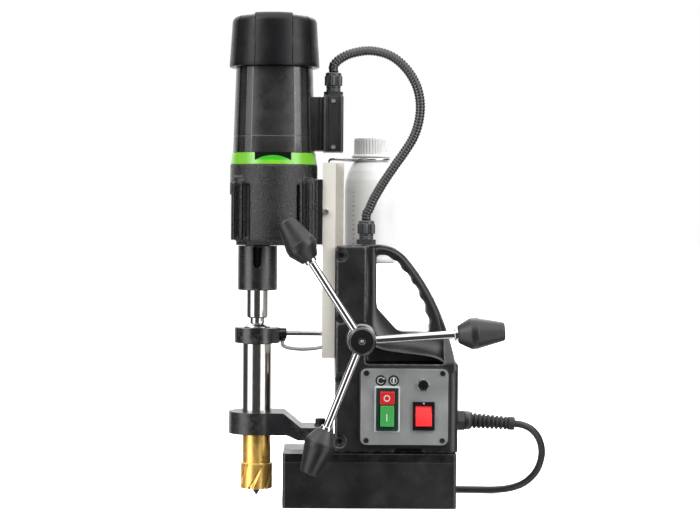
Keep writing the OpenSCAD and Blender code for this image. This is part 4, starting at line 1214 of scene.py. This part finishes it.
def make_bottle():
    profile = [
        (0, 231.4), (19, 231.4), (21.5, 230.6), (23, 230.6), (25.2, 231.6), (26, 234), (26, 236.4), (25.7, 237.2),
        (26, 238), (26, 302), (25.8, 306), (25, 313), (22.4, 322), (18.9, 329), (17.2, 330.8), (16.4, 331.2),
        (16.4, 333), (14.2, 333.4), (14.2, 346),
    ]
    body = lathe("bottle_body", rounded(profile, 0.8, 3), bottle_white, BOTTLE_AT, sides=120, angle=50)
    attach(body, "coolant_bottle")
    spigot = lathe(
        "bottle_spigot", rounded([(1.4, 223.6), (3.1, 223.6), (2.6, 225.4), (3.1, 226), (2.8, 231.8)], 0.3),
        white_plastic, BOTTLE_AT, sides=32,
    )
    extra(spigot, "coolant_bottle")
    verts, faces = [], []
    for row in range(14):
        z = 241 + 4.6 * row
        wide = 3.4 if row % 5 == 0 else 1.9
        for side in (-132, 48):
            n = len(verts)
            for k in range(5):
                a = math.radians(side) + (k - 2) / 4 * wide / 26
                for r, dz in ((26.16, -0.22), (26.16, 0.22), (25.8, 0.22), (25.8, -0.22)):
                    verts.append((BOTTLE_AT[0] + r * math.cos(a), BOTTLE_AT[1] + r * math.sin(a), z + dz))
            for k in range(4):
                for e in range(4):
                    p, q = n + 4 * k + e, n + 4 * k + (e + 1) % 4
                    faces.append((p, q, q + 4, p + 4))
            faces += [(n + 3, n + 2, n + 1, n), (n + 16, n + 17, n + 18, n + 19)]
    extra(mesh_object("bottle_scale", verts, faces, knob_grey, flat=True), "coolant_bottle")

    def ribs(r, z, a):
        if r > 16 and 338.5 < z < 353.5:
            return -0.45 * (0.5 + 0.5 * math.cos(36 * a)) ** 3
        return 0

    cap_profile = [
        (14.3, 335.6), (19.2, 335.4), (19.4, 336), (19.2, 337.4), (17.2, 337.8), (17.2, 339), (17, 345), (17, 352.8),
        (16.4, 354.6), (14.6, 355.6), (13, 355.5), (12.4, 354.9), (0, 354.9),
    ]
    cap = lathe("bottle_lid", rounded(cap_profile, 0.4, 2), white_plastic, BOTTLE_AT, sides=216, angle=40, wave=ribs)
    attach(cap, "bottle_cap")


def make_bottle_holder():
    wire = [
        (-40, 10, 322), (-40, 10, 329), (-39, 12, 331.6), (-35, 17, 332.5), (-26, 30, 332.3), (-17.5, 45, 332.3),
        (-15.6, 52, 332.6),
    ]
    attach(pipe("holder_arm", catmull(wire, 10), 1.5, satin_chrome, 16), "bottle_holder")
    loop_r, loop_z = 18.3, 333.5
    x, y, _ = BOTTLE_AT
    loop = [(x + loop_r * math.cos(a), y + loop_r * math.sin(a), loop_z) for a in circle(96) + [2 * math.pi]]
    extra(pipe("holder_ring", loop, 1.5, satin_chrome, 14), "bottle_holder")


make_bottle()
make_bottle_holder()


# ---- capstan

HUB = Vector((-8.8, 0, 161.3))
LEVER_Y = -68
LEVER_ANGLES = (4.2, 123.1, 248.5)

dress("pinion_shaft", steel_plain, 0.15)
dress("feed_levers", chrome, 0.2)


def make_hub():
    start = HUB + Vector((0, -33, 0))
    profile = rounded([
        (8.2, 0.4), (14.8, 0.4), (14.8, 11.6), (13.6, 12.8), (12.7, 13.4), (12.7, 14.6), (13.1, 15), (13.1, 29),
        (13.6, 30), (13.6, 40), (13.0, 43.4), (12.2, 44.2), (11.6, 43.6),
    ], 0.5, 3)
    attach(lathe("hub_body", profile, hub_chrome, start, (0, -1, 0), 96), "capstan_hub")
    cap = rounded([(11.9, 42), (11.9, 44.6), (11, 45.3), (3.2, 45.6), (2.6, 45.0), (0, 45.0)], 0.4, 3)
    extra(lathe("hub_cap", cap, gloss_black, start, (0, -1, 0), 72), "capstan_hub")
    stud = rounded([(1.5, 44.6), (1.5, 45.4), (1.1, 45.8), (0, 45.9)], 0.2, 2)
    extra(lathe("hub_stud", stud, zinc, start, (0, -1, 0), 24), "capstan_hub")


def make_knobs():
    profile = rounded([
        (3.9, 0.6), (4.2, 0), (7.4, 0), (8.6, 0.9), (14.0, 11.0), (14.75, 12.8), (14.7, 18.4), (14.2, 19.6),
        (8.9, 42.6), (7.9, 44), (5.6, 44), (5.0, 42.8), (0, 42.4),
    ], 0.55, 3)
    for i, angle in enumerate(LEVER_ANGLES):
        a = math.radians(angle)
        along = Vector((math.cos(a), 0, math.sin(a)))
        centre = HUB + Vector((0, LEVER_Y, 0)) + along * 89.5
        piece = lathe("knob_%d" % (i + 1), profile, knob_grey, centre, along, 96, 40)
        attach(piece, "lever_knobs", hide=i == 0)
        collar = rounded([(3.8, -3.2), (5.4, -3.2), (5.8, -2.6), (5.8, 0.3)], 0.3, 2)
        extra(lathe("knob_collar_%d" % (i + 1), collar, chrome, centre, along, 48), "lever_knobs")


make_hub()
make_knobs()
